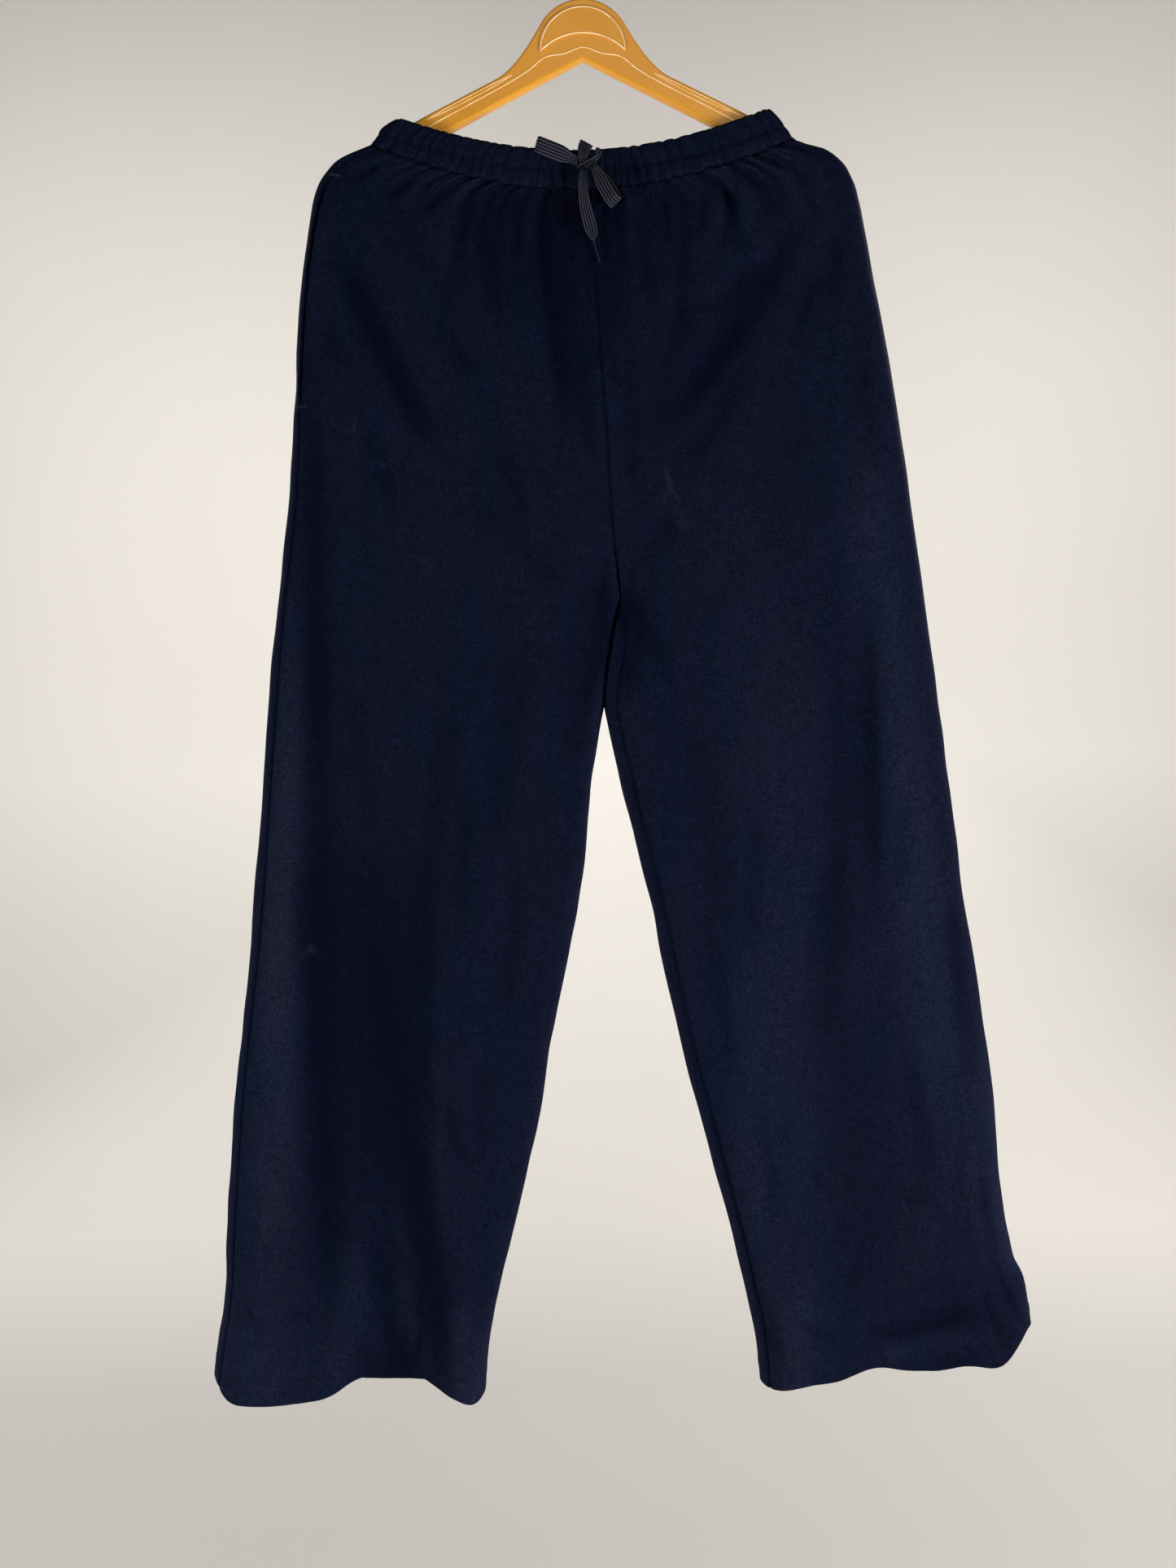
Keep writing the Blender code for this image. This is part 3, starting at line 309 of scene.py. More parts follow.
# Fine creases, laid on the cloth over the large folds, with the same columns as the folds
FRONT_CREASES = (
    # right hip
    (-203, 292, -186, 344, 2, 5, 0.9),
    (-118, 292, -88, 346, 2, 5, 1.4),
    (-128, 192, -156, 208, -2, 4, 1.5),
    (-106, 198, -124, 222, 0, 4, 1.3),
    (-154, 178, -186, 196, -3, 4, 1.2),
    (-84, 204, -96, 246, 0, 4, 1.2),
    (-58, 202, -54, 262, 0, 4, 1.4),
    (-26, 204, -12, 268, 0, 4, 1.2),
    (-176, 372, -150, 446, 0, 8, 0.9),
    (-70, 380, -52, 470, 2, 7, 0.9),
    (-100, 430, -30, 512, -4, 9, 0.8),
    (-5, 300, -4, 420, 2, 6, 0.9),
    # left hip
    (113, 179, 154, 198, -2, 2.6, 2.0),
    (130, 175, 174, 184, -2, 2.4, 1.8),
    (148, 168, 181, 182, -2, 2.2, 1.5),
    (104, 190, 132, 212, -1, 2.6, 1.2),
    (96, 196, 116, 224, 0, 4, 1.3),
    (56, 202, 60, 256, 0, 4, 1.3),
    (20, 204, 24, 272, 0, 4, 1.3),
    (90, 204, 82, 250, 0, 4, 1.2),
    (190, 240, 182, 300, 2, 6, 1.1),
    (120, 330, 60, 430, -3, 8, 1.0),
    (26, 320, 30, 450, 0, 6, 0.9),
    (70, 436, 20, 500, -2, 7, 0.8),
    (200, 330, 214, 430, 2, 8, 0.8),
    # crotch
    (14, 470, -4, 540, 2, 5, 1.0),
    (20, 490, 30, 560, -2, 5, 1.0),
    (24, 510, 60, 590, 2, 7, 0.8),
    (6, 520, -18, 604, -2, 6, 0.9),
    # right leg
    (-131, 904, -110, 957, 3, 4, 1.3),
    (-157, 892, -108, 924, -3, 4, 0.8),
    (-184, 998, -157, 1042, 2, 3, 1.5),
    (-157, 1036, -160, 1118, -3, 3, 1.6),
    (-232, 996, -196, 1004, 0, 5, 0.6),
    (-150, 1010, -112, 1040, 2, 4, 0.8),
    (-260, 1060, -238, 1072, 2, 4, 0.7),
    (-296, 1046, -270, 1086, 3, 5, 0.9),
    (-206, 1062, -172, 1076, 2, 3, 0.8),
    (-240, 700, -226, 840, 3, 8, 0.8),
    (-100, 640, -116, 780, 3, 8, 0.9),
    (-70, 700, -84, 850, -2, 7, 0.8),
    (-190, 560, -176, 700, 4, 9, 0.8),
    (-268, 860, -262, 980, 2, 6, 0.7),
    (-96, 860, -104, 960, 2, 5, 0.9),
    (-124, 820, -92, 838, 2, 4, 0.6),
    # left leg
    (188, 1099, 286, 1080, 4, 3, 1.2),
    (140, 1088, 176, 1104, -2, 4, 0.9),
    (232, 1062, 262, 1052, 2, 4, 0.7),
    (296, 1040, 322, 1098, 3, 4, 1.2),
    (284, 1060, 300, 1110, 0, 4, 0.9),
    (150, 960, 176, 990, 3, 4, 0.7),
    (206, 980, 260, 1000, -3, 5, 0.6),
    (236, 640, 226, 760, 2, 8, 0.9),
    (120, 660, 112, 800, 3, 8, 0.8),
    (74, 760, 92, 900, -3, 7, 0.8),
    (266, 740, 272, 870, 2, 7, 0.9),
    (230, 860, 252, 980, 4, 8, 0.8),
    (110, 900, 124, 1010, -2, 6, 0.8),
)
BACK_CREASES = (
    (126, 188, 158, 206, 2, 4, 1.4),
    (-124, 190, -158, 206, -2, 4, 1.4),
    (70, 204, 64, 268, 0, 4, 1.3),
    (-70, 204, -62, 262, 0, 4, 1.3),
    (46, 204, 40, 250, 0, 4, 1.2),
    (-10, 204, -8, 276, 0, 4, 1.3),
    (112, 204, 122, 246, 0, 4, 1.2),
    (186, 250, 176, 330, 2, 6, 1.0),
    (-190, 252, -172, 336, 2, 6, 1.0),
    (110, 330, 50, 440, 3, 8, 1.0),
    (-100, 350, -36, 452, -3, 8, 1.0),
    (20, 440, 60, 520, 2, 7, 0.9),
    (10, 450, -40, 530, 2, 7, 0.9),
    (30, 500, 60, 580, 2, 6, 0.9),
    (0, 500, -22, 600, 2, 6, 0.9),
    (-180, 420, -170, 520, 2, 8, 0.8),
    (186, 430, 178, 540, 2, 8, 0.8),
    (120, 640, 110, 790, 3, 8, 0.8),
    (230, 660, 244, 800, 3, 8, 0.8),
    (160, 840, 190, 870, 2, 4, 0.7),
    (120, 960, 150, 1010, 2, 4, 0.9),
    (230, 990, 290, 1006, 3, 4, 0.8),
    (200, 1080, 262, 1070, 3, 3, 1.1),
    (286, 1030, 306, 1090, 2, 4, 1.0),
    (-110, 660, -124, 800, 3, 8, 0.8),
    (-236, 640, -244, 780, 3, 8, 0.8),
    (-190, 850, -150, 872, 2, 4, 0.7),
    (-120, 940, -140, 1000, 2, 4, 0.9),
    (-270, 980, -222, 1000, 2, 4, 0.7),
    (-250, 1070, -190, 1084, 3, 3, 1.0),
    (-296, 1030, -280, 1092, 2, 4, 0.9),
)

CREASES = {FRONT: FRONT_CREASES, BACK: BACK_CREASES}

# Broad soft troughs and, below 0, ridges of the front. They are pressed in a little as form and shown mostly as
# painted shade and painted light in the cloth's colour.
# Columns as in the creases
FRONT_SHADES = (
    (-212, 300, -222, 700, 0, 9, 1.9),
    (-219, 640, -226, 1120, 2, 13, 2.8),
    (-196, 660, -180, 1000, 0, 30, 1.4),
    (-186, 740, -136, 1120, 0, 11, 2.6),
    (-160, 900, -134, 1150, 0, 10, 2.6),
    (-232, 450, -276, 1100, 0, 15, -2.4),
    (-110, 560, -158, 840, 0, 10, 1.2),
    (-28, 168, -15, 398, 0, 9, 2.4),
    (14, 160, 10, 372, 0, 12, 1.6),
    (-18, 140, -18, 330, 0, 52, 1.3),
    (-70, 170, -74, 300, 0, 22, 0.9),
    (64, 170, 52, 300, 0, 18, 0.7),
    (-196, 238, -124, 398, 0, 7, 2.4),
    (142, 246, 44, 402, 0, 9, 1.6),
    (96, 262, 30, 402, 0, 10, 0.9),
    (10, 490, 4, 600, 0, 8, 2.2),
    (28, 500, 12, 600, 0, 11, 3.0),
    (208, 470, 206, 800, 0, 7, 1.3),
    (182, 500, 178, 820, 0, 9, 1.0),
    (176, 800, 196, 1120, 0, 26, 1.0),
    (196, 330, 272, 1020, 0, 20, -2.6),
    (120, 420, 150, 1110, 0, 42, -1.0),
    (96, 760, 124, 1110, 0, 16, -0.8),
    (186, 1114, 304, 1098, 0, 9, -1.5),
    (270, 880, 288, 1060, 0, 4, -1.2),
)
SHADE_PRESS = 0.35

# How far from a panel's edges its creases begin
CREASE_MARGIN = 8.0

# Soft unevenness of hanging cloth
UNEVEN_WAVES = 26
UNEVEN_HEIGHT = 0.17
UNEVEN_SHORTEST = 26.0
UNEVEN_LONGEST = 150.0
UNEVEN_TURN = 0.9
UNEVEN_POWER = 0.6
UNEVEN_START = 60.0
UNEVEN_SEED_STEP = 50

# Where the inner legs touch, and how much they are pressed out there
TOUCH_START = 502.0
TOUCH_END = 611.0
TOUCH_FADE_IN = 12.0
TOUCH_FADE_OUT = 30.0
TOUCH_OUT = 1.3
TOUCH_REACH = 10.0

# How deep the large folds and small creases are where their painted shade is full; the seams get painted shade
# too
FOLD_SHADE_DEPTH = 7.0
CREASE_SHADE_DEPTH = 1.9
SHADE_DEPTH = 2.4
FOLD_SHADE_SHIFT = 0.05
SEAM_SHADE = 1.3
SEAM_SHADE_WIDTH = 1.2

# Seams and stitching
SEAM_GROOVE = 0.7
SEAM_GROOVE_WIDTH = 1.5
PUCKER_HEIGHT = 0.16
PUCKER_LENGTH = 11.0
PUCKER_REACH = 9.0
PUCKER_SWAY = 2.0
PUCKER_SWAY_LENGTH = 37.0
HEM_STEP = 1.6
HEM_STITCH_DIP = 0.45
HEM_STITCH_INSET = 1.5
HEM_STITCH_REACH = 1.3
HEM_PUCKER_HEIGHT = 0.22
HEM_PUCKER_LENGTH = 14.0
HEM_PUCKER_LEAN = 0.7
HEM_PUCKER_SWAY = 1.5
HEM_PUCKER_SWAY_LENGTH = 31.0
HEM_PUCKER_REACH = 9.0
THREAD_RADIUS = 0.24
STITCH_LENGTH = 2.6
STITCH_PITCH = 3.4
STITCH_START = 0.5
STITCH_SIDES = 6
# Columns: share of the stitch's length, height in thread radii, thickness in thread radii
STITCH_RINGS = (
    (0.0, -0.5, 0.55),
    (0.25, 0.5, 1.0),
    (0.5, 0.75, 1.05),
    (0.75, 0.5, 1.0),
    (1.0, -0.5, 0.55),
)

# Pocket in the right side seam
POCKET_TOP = 219.0
POCKET_BOTTOM = 362.0
POCKET_MOUTH_GAP = 1.6
POCKET_FADE = 9.0
POCKET_LIP = 0.7
POCKET_LIP_REACH = 5.0
BARTACK_LENGTH = 8.0
BARTACK_BEHIND = 3.0
BARTACK_AWAY = 1.5
BARTACK_HALF = 1.9
BARTACK_ZIGZAG = 0.3
BARTACK_LIFT = 0.15
BARTACK_STITCHES = 12

# The bag's rows. behind: from the leg's wall to the bag's front layer. space: between the two layers.
# Columns: drop, behind, space
BAG_ROWS = (
    (227.0, 3.4, 1.2),
    (238.0, 3.0, 1.6),
    (252.0, 1.4, 2.0),
    (276.0, 0.5, 2.6),
    (306.0, 0.4, 2.8),
    (340.0, 0.4, 2.8),
    (376.0, 0.4, 2.4),
    (414.0, 0.4, 1.0),
)
BAG_COLUMNS = ("drop", "behind", "space")
BAG_NEAR = 1.4
BAG_WALL = 1.0
BAG_PANEL_COLUMNS = 40
BAG_SPAN = 21
BAG_BACK_SPAN = 5
BAG_STEP = 5.0

# Pale marks on the front
# Columns: x0, drop0, x1, drop1, width, strength
MARKS = (
    (54, 420, 58, 433, 1.5, 0.7),
    (57, 433, 52, 441, 1.4, 0.45),
    (57, 433, 63, 443, 1.5, 0.6),
    (60, 449, 66, 462, 3.2, 0.3),
    (-238, 784, -229, 779, 1.7, 0.6),
    (-233, 781, -226, 778, 1.3, 0.4),
    (-182, 379, -181.5, 381, 0.9, 0.9),
    (-134, 482, -133.5, 483.5, 0.8, 0.7),
)

# Hanger, as in the solids
HANGER_DEPTH = 9.0
HANGER_EDGE_ROUND = 2.2
HANGER_EDGE_STEPS = 5
HANGER_EDGE_ANGLE = math.radians(60.0)
HANGER_TILT = math.radians(0.8)
HEAD_TOP = 62.0
HEAD_RADIUS = 37.0
HEAD_TURN = math.radians(60.0)
HEAD_STEPS = 28
NECK_END = 66.0
NECK_STEPS = 20
ARM_TOP_AT_MIDDLE = 87.8
ARM_TOP_SLOPE = 0.494
ARM_LOW_AT_MIDDLE = 106.2
ARM_LOW_SLOPE = 0.512
ARM_DROOP = 5.6
ARM_DROOP_START = 116.0
ARM_SPAN = 191.5
ARM_STATIONS = 16
ARM_END_MARGIN = 6.0
ARM_END_TOP_ROUND = 15.0
ARM_END_TOP_STEPS = 14
ARM_END_LOW_ROUND = 6.0
ARM_END_LOW_INSET = 3.0
ARM_END_LOW_START = -0.3
ARM_END_LOW_STEPS = 10
CRESCENT_HALF_WIDTH = 32.0
CRESCENT_TOP = 69.0
CRESCENT_LOW = 101.0
CRESCENT_NOTCH = 88.0
CRESCENT_RAISE = 0.8
CRESCENT_EDGE_ROUND = 0.75
CRESCENT_TOP_STEPS = 48
CRESCENT_LOW_STEPS = 32
# The moulded lines, each sunk a little into the face that it lies on, in paler plastic as a painted highlight
LINE_RADIUS = 0.6
LINE_STEP = 2.0
LINE_ROUNDING = 3
HEAD_LINE_SINK = 0.25
CRESCENT_LINE_SINK = 0.3
ARM_LINE_SINK = 0.2
ARM_LINE_RADIUS = 0.42
# Columns: x, z
HEAD_LINE = (
    (0.0, -98.5),
    (14.0, -103.0),
    (29.0, -105.8),
    (42.0, -115.5),
    (60.0, -126.0),
    (100.0, -146.5),
    (150.0, -172.5),
)
ARM_PANEL_BOW = 1.3
# Columns: x, z, share of the bow
ARM_PANEL = (
    (54.0, -118.4, 0.0),
    (68.0, -125.6, 0.8),
    (86.0, -134.6, 1.0),
    (104.0, -143.4, 0.8),
    (119.0, -150.6, 0.0),
)

# Hook
WIRE_RADIUS = 2.0
WIRE_ROUNDING = 6
HOOK_INNER_RADIUS = 19.0
HOOK_TIP_ANGLE = math.radians(206.0)
HOOK_NECK_ANGLE = math.radians(-38.0)
HOOK_NECK_PULL = 9.0
STEM_ABOVE_HEAD = 8.0
STEM_PULL = 10.0
STEM_IN_HEAD = 12.5
CROOK_STEPS = 60
HOOK_NECK_STEPS = 24

# Drawstring: a flat braided lace
LACE_THICKNESS = 1.7
LACE_FLAT_ACROSS = 0.75
LACE_FLAT_THROUGH = 0.6
LACE_RIBS = 5
LACE_RIB_HEIGHT = 0.55
LACE_RIB_MIDDLE = 0.55
LACE_RIB_POWER = 2.0
LACE_STITCH = 2.1
LACE_STITCH_RISE = 0.20
LACE_STITCH_SLANT = 0.12
LACE_STEP = 0.45
LACE_SIDES = 14
KNOT_CENTRE = (0.3, -15.9, -188.4)
KNOT_RADII = (6.6, 4.7, 6.0)
KNOT_FACES = (96, 64)
KNOT_WIND = (0.55, 0.85)
KNOT_RIBS = 3.2
KNOT_RIB_POWER = 0.8
KNOT_RIB_MIDDLE = 0.6
KNOT_STITCHES = 18.0
KNOT_STITCH_RISE = 0.25
KNOT_STITCH_SLANT = 3.0
KNOT_RELIEF = 0.07
KNOT_BULGES = (3.0, 2.0)
# Painted shade: the knot's ribs are coloured darker, as in shadow
KNOT_SHADE = 0.5
STRAND_ACROSS = (0.3, 0.0, 1.0)
STRAND_RIBS = 1
CURL_RIBS = 3
STRAND_ROUTE = (
    (-7.0, -18.6, -194.2),
    (-4.0, -20.6, -193.6),
    (0.0, -22.2, -192.0),
    (4.4, -22.0, -189.4),
    (8.2, -19.6, -185.8),
)
STRAND_WIDTH = 1.7
STRAND_THICKNESS = 1.4
LOOP_CLEARANCE = 0.6
LOOP_BELLY = 0.35
LOOP_ROOT_WIDTH = 0.55
LOOP_SIDE_STEPS = 5
LOOP_TIP_STEPS = 8
LOOPS = {
    "right": {"root": (-6.6, -16.8, -188.2), "tip": (-37.0, -17.2, -175.6), "lift": (0.0, -0.8, -0.6),
              "across": (0.32, -0.55, 0.74), "width": 10.8, "spread": 2.6},
    "left": {"root": (6.6, -17.2, -194.4), "tip": (20.8, -18.9, -220.6), "lift": (-0.55, -0.83, -0.1),
             "across": (0.71, -0.52, 0.44), "width": 11.0, "spread": 3.6},
}
# Columns: place, direction across the lace, width
SHORT_END = (
    ((-2.8, -20.2, -191.0), (1.0, 0.0, -0.1), 6.0),
    ((-2.6, -20.8, -187.0), (1.0, 0.0, -0.1), 7.4),
    ((-2.1, -20.0, -183.0), (1.0, 0.0, -0.2), 9.0),
    ((-1.1, -18.2, -179.2), (1.0, 0.1, -0.4), 10.0),
    ((0.4, -16.6, -175.6), (1.0, 0.15, -0.5), 10.4),
)
CURL = (
    ((5.6, -18.4, -189.0), (1.0, 0.1, 0.3), 3.6),
    ((8.2, -18.6, -186.0), (1.0, 0.2, 0.1), 4.6),
    ((9.2, -17.8, -182.6), (1.0, 0.3, -0.2), 4.8),
    ((8.4, -16.8, -179.8), (1.0, 0.3, -0.4), 3.4),
)
# Columns: x, y, z, share of the full width
TAIL_ROUTE = (
    (-2.1, -15.3, -194.9, 0.52),
    (-2.9, -16.0, -200.0, 0.62),
    (-3.4, -16.7, -206.0, 0.70),
    (-3.2, -17.0, -212.0, 0.76),
    (-2.6, -17.1, -218.0, 0.83),
    (-1.7, -17.1, -224.0, 0.90),
    (-0.4, -17.1, -230.0, 0.97),
    (1.0, -17.1, -236.0, 1.0),
    (2.2, -17.1, -241.0, 0.92),
    (3.0, -17.4, -245.0, 0.6),
    (3.7, -17.3, -248.2, 0.16),
    (5.2, -17.2, -254.0, 0.11),
    (6.9, -17.2, -260.0, 0.11),
    (7.8, -17.2, -263.5, 0.17),
)
TAIL_WIDTH = 10.8
TAIL_ACROSS = (1.0, 0.25, 0.15)
TAIL_TIP_THICKNESS = 0.6


# Camera and surroundings
def link_object(name, data):
    """Puts an object into the scene."""
    made = bpy.data.objects.new(name, data)
    bpy.context.scene.collection.objects.link(made)
    return made


def make_camera():
    """The camera at the photo's place and angle."""
    ahead = Vector((0.0, math.cos(CAMERA_PITCH), -math.sin(CAMERA_PITCH)))
    upward = Vector((0.0, math.sin(CAMERA_PITCH), math.cos(CAMERA_PITCH)))
    level = Vector((1.0, 0.0, 0.0))
    across = math.cos(CAMERA_ROLL) * level - math.sin(CAMERA_ROLL) * upward
    up = math.sin(CAMERA_ROLL) * level + math.cos(CAMERA_ROLL) * upward
    data = bpy.data.cameras.new("camera")
    data.sensor_fit = "VERTICAL"
    data.sensor_height = CAMERA_SENSOR
    data.lens = CAMERA_LENS
    data.clip_start = CAMERA_NEAREST
    made = link_object("camera", data)
    turn = Matrix((across, up, -ahead)).transposed().to_4x4()
    made.matrix_world = Matrix.Translation(CAMERA_PLACE) @ turn
    bpy.context.scene.camera = made


def area_light(name, place, target, size, power, colour):
    """A large soft light that points at a target."""
    data = bpy.data.lights.new(name, "AREA")
    data.shape = "DISK"
    data.size = size
    data.energy = power
    data.color = colour
    made = link_object(name, data)
    made.location = place
    made.rotation_euler = (Vector(target) - Vector(place)).to_track_quat("-Z", "Y").to_euler()


def make_surroundings():
    """A pale floor that curves up behind, pale daylight all round and soft lights."""
    side_view = [(-FLOOR_HALF, -FLOOR_DROP)]
    for turn in np.linspace(0.0, math.pi / 2, BACKDROP_STEPS + 1):
        side_view.append((BACKDROP_Y - BACKDROP_ROUND * (1 - math.sin(turn)),
                          -FLOOR_DROP + BACKDROP_ROUND * (1 - math.cos(turn))))
    side_view.append((BACKDROP_Y, BACKDROP_TOP))
    points = [(x, y, z) for y, z in side_view for x in (-FLOOR_HALF, FLOOR_HALF)]
    faces = [(2 * i, 2 * i + 1, 2 * i + 3, 2 * i + 2) for i in range(len(side_view) - 1)]
    mesh = bpy.data.meshes.new("pale_floor")
    mesh.from_pydata(points, [], faces)
    mesh.shade_smooth()
    mesh.materials.append(floor_material())
    link_object("pale_floor", mesh)
    world = bpy.data.worlds.new("pale_daylight")
    world.use_nodes = True
    background = world.node_tree.nodes["Background"]
    background.inputs["Color"].default_value = (*WORLD_COLOUR, 1.0)
    background.inputs["Strength"].default_value = WORLD_STRENGTH
    bpy.context.scene.world = world
    bpy.context.scene.view_settings.view_transform = "Standard"
    for name, place, target, size, power, colour in LIGHTS:
        area_light(name, place, target or GARMENT_MIDDLE, size, power, colour)


# Materials. Colours are linear and distances are in metres. A noise is given as its waves a metre, detail and
# roughness, a bump as its distance and strength, a grain or a roughness as its noise and its bump or bounds.
FLOOR_COLOUR = (0.80, 0.79, 0.765)
FLOOR_ROUGHNESS = 0.95
FLOOR_GLOSS = 0.1
FLOOR_NOISE = (0.8, 3.0, 0.5)
FLOOR_CLOUDS = ((0.3, (0.98, 0.98, 0.98)), (0.7, (1.02, 1.02, 1.02)))
# Knit
KNIT_WALE = 0.0011
KNIT_COURSE = 0.0009
KNIT_SLANT = 1.5
KNIT_LOOP_HEIGHT = 0.45
KNIT_BUMP = (0.00012, 0.55)
# Jersey: the ramp between its yarns, then the ramps that multiply it
MELANGE_NOISE = (620.0, 3.0, 0.7)
MELANGE = ((0.36, (0.0014, 0.0028, 0.0098)), (0.66, (0.0048, 0.0075, 0.0200)))
PATCH_STRETCH = (1.0, 1.0, 0.28)
PATCH_NOISE = (26.0, 3.0, 0.6)
FADED_PATCHES = ((0.3, (0.74, 1.0, 1.0)), (0.7, (1.5, 0.98, 1.0)))
PILE_NOISE = (170.0, 4.0, 0.65)
PILE = ((0.32, (0.80, 0.83, 0.87)), (0.68, (1.23, 1.20, 1.15)))
# Painted light and shade: ridges lighter, and troughs, creases, gathers and seams darker
PAINTED_RIDGE_LIGHT_TROUGH_SHADE = ((0.0, (2.3, 2.0, 1.6)), (0.5, (1.0, 1.0, 1.0)), (1.0, (0.26, 0.34, 0.54)))
MARK_COLOUR = (0.05, 0.062, 0.095)
MARK_NOISE = (420.0, 2.0, 0.7)
MARK_BREAK = 0.46
MARK_BASE = 0.35
MARK_STRENGTH = 0.17
JERSEY_PLAIN_ROUGHNESS = 0.82
JERSEY_ROUGHNESS = ((60.0, 3.0, 0.5), (0.72, 0.9))
JERSEY_GRAINS = (((48.0, 4.0, 0.6), (0.004, 0.22)), ((220.0, 3.0, 0.6), (0.0006, 0.22)))
JERSEY_SHADER = {"Sheen Weight": 0.012, "Sheen Roughness": 0.5, "Sheen Tint": (0.5, 0.55, 0.7, 1.0),
                 "Specular IOR Level": 0.02}
# Lace
LACE_COLOUR = (0.020, 0.021, 0.028)
LACE_ROUGHNESS = 0.8
LACE_NOISE = (1800.0, 2.0, 0.6)
LACE_FIBRES = ((0.3, (0.013, 0.014, 0.019)), (0.75, (0.031, 0.033, 0.043)))
# Painted shade between the ribs and painted highlight on the raised stitches
LACE_PAINTED_SHADE_TO_HIGHLIGHT = ((0.22, (0.03, 0.04, 0.09)), (0.85, (2.1, 2.1, 2.25)))
LACE_GRAIN = ((2600.0, 2.0, 0.7), (0.0002, 0.5))
LACE_SHADER = {"Sheen Weight": 0.02, "Sheen Tint": (0.5, 0.5, 0.6, 1.0), "Specular IOR Level": 0.08}
# Threads, plastics and metal
THREAD_GRAIN = ((5000.0, 3.0, 0.5), (0.00005, 0.4))
LOOKS = {
    "sewing_thread": {
        "colour": (0.0022, 0.0038, 0.012),
        "clouds": ((0.0022, 0.0038, 0.012), (0.005, 0.0075, 0.021)),
        "noise": (500.0, 3.0, 0.5),
        "roughness": 0.7,
        "grain": THREAD_GRAIN,
        "shader": {"Specular IOR Level": 0.08},
    },
    "bartack_thread": {
        "colour": (0.010, 0.012, 0.024),
        "clouds": ((0.010, 0.012, 0.024), (0.022, 0.025, 0.040)),
        "noise": (500.0, 3.0, 0.5),
        "roughness": 0.7,
        "grain": THREAD_GRAIN,
        "shader": {"Specular IOR Level": 0.08},
    },
    "orange_plastic_gloss": {
        "colour": (0.60, 0.255, 0.016),
        "clouds": ((0.585, 0.247, 0.014), (0.62, 0.265, 0.018)),
        "noise": (16.0, 3.0, 0.5),
        "roughness": 0.35,
        "uneven": ((70.0, 5.0, 0.65), (0.17, 0.34)),
        "grain": ((180.0, 2.0, 0.5), (0.0002, 0.1)),
        "shader": {"Coat Weight": 0.12, "Coat Roughness": 0.08, "Subsurface Weight": 0.06,
                   "Subsurface Radius": (0.004, 0.002, 0.001)},
    },
    # Painted highlight: a paler, glossier copy of the orange plastic for the moulded lines' glints
    "orange_plastic_painted_highlight": {
        "colour": (0.80, 0.50, 0.20),
        "clouds": ((0.72, 0.40, 0.12), (0.92, 0.66, 0.36)),
        "noise": (60.0, 3.0, 0.5),
        "roughness": 0.2,
        "shader": {"Coat Weight": 0.4},
    },
    "plated_wire": {
        "colour": (0.60, 0.60, 0.61),
        "clouds": ((0.50, 0.50, 0.51), (0.68, 0.68, 0.69)),
        "noise": (90.0, 4.0, 0.5),
        "roughness": 0.24,
        "metallic": 1.0,
        "uneven": ((400.0, 5.0, 0.7), (0.16, 0.40)),
    },
}


def new_material(name, colour, roughness, metallic=0.0):
    """A material with its shader, ready for more nodes."""
    made = bpy.data.materials.new(name)
    made.use_nodes = True
    shader = made.node_tree.nodes["Principled BSDF"]
    shader.inputs["Base Color"].default_value = (*colour, 1.0)
    shader.inputs["Roughness"].default_value = roughness
    shader.inputs["Metallic"].default_value = metallic
    return made, made.node_tree, shader


def set_values(shader, values):
    """Sets a shader's plain inputs by their names."""
    for name, value in values.items():
        shader.inputs[name].default_value = value


def object_place(tree):
    """Places in an object's own space, in metres."""
    return tree.nodes.new("ShaderNodeTexCoord").outputs["Object"]


def attribute_node(tree, name):
    """The number that a mesh holds for each of its points under a name."""
    node = tree.nodes.new("ShaderNodeAttribute")
    node.attribute_name = name
    return node.outputs["Fac"]


def math_node(tree, operation, first, second=None):
    """A Math node whose inputs are numbers or other nodes' outputs."""
    node = tree.nodes.new("ShaderNodeMath")
    node.operation = operation
    for socket, value in zip(node.inputs, (first, second)):
        if value is None:
            continue
        if isinstance(value, (int, float)):
            socket.default_value = value
        else:
            tree.links.new(value, socket)
    return node.outputs[0]


def noise_node(tree, scale, detail, roughness, vector=None):
    """A noise texture in object space, its scale in waves a metre."""
    node = tree.nodes.new("ShaderNodeTexNoise")
    node.inputs["Scale"].default_value = scale
    node.inputs["Detail"].default_value = detail
    node.inputs["Roughness"].default_value = roughness
    tree.links.new(object_place(tree) if vector is None else vector, node.inputs["Vector"])
    return node.outputs["Fac"]


def ramp_node(tree, factor, stops):
    """A colour ramp through (position, colour) stops."""
    node = tree.nodes.new("ShaderNodeValToRGB")
    ramp = node.color_ramp
    for i, (place, colour) in enumerate(stops):
        stop = ramp.elements[i] if i < 2 else ramp.elements.new(place)
        stop.position = place
        stop.color = (*colour, 1.0)
    tree.links.new(factor, node.inputs["Fac"])
    return node.outputs["Color"]


def mix_colours(tree, factor, first, second, blend="MIX"):
    """A Mix node for colours."""
    node = tree.nodes.new("ShaderNodeMix")
    node.data_type = "RGBA"
    node.blend_type = blend
    for name, value in (("Factor", factor), ("A", first), ("B", second)):
        socket = next(s for s in node.inputs if s.name == name and s.enabled)
        if isinstance(value, (int, float)):
            socket.default_value = value
        elif isinstance(value, tuple):
            socket.default_value = (*value, 1.0)
        else:
            tree.links.new(value, socket)
    return next(s for s in node.outputs if s.enabled)


def bump_node(tree, height, distance, strength, normal=None):
    """A bump from a height, its distance in metres."""
    node = tree.nodes.new("ShaderNodeBump")
    node.inputs["Distance"].default_value = distance
    node.inputs["Strength"].default_value = strength
    tree.links.new(height, node.inputs["Height"])
    if normal is not None:
        tree.links.new(normal, node.inputs["Normal"])
    return node.outputs["Normal"]


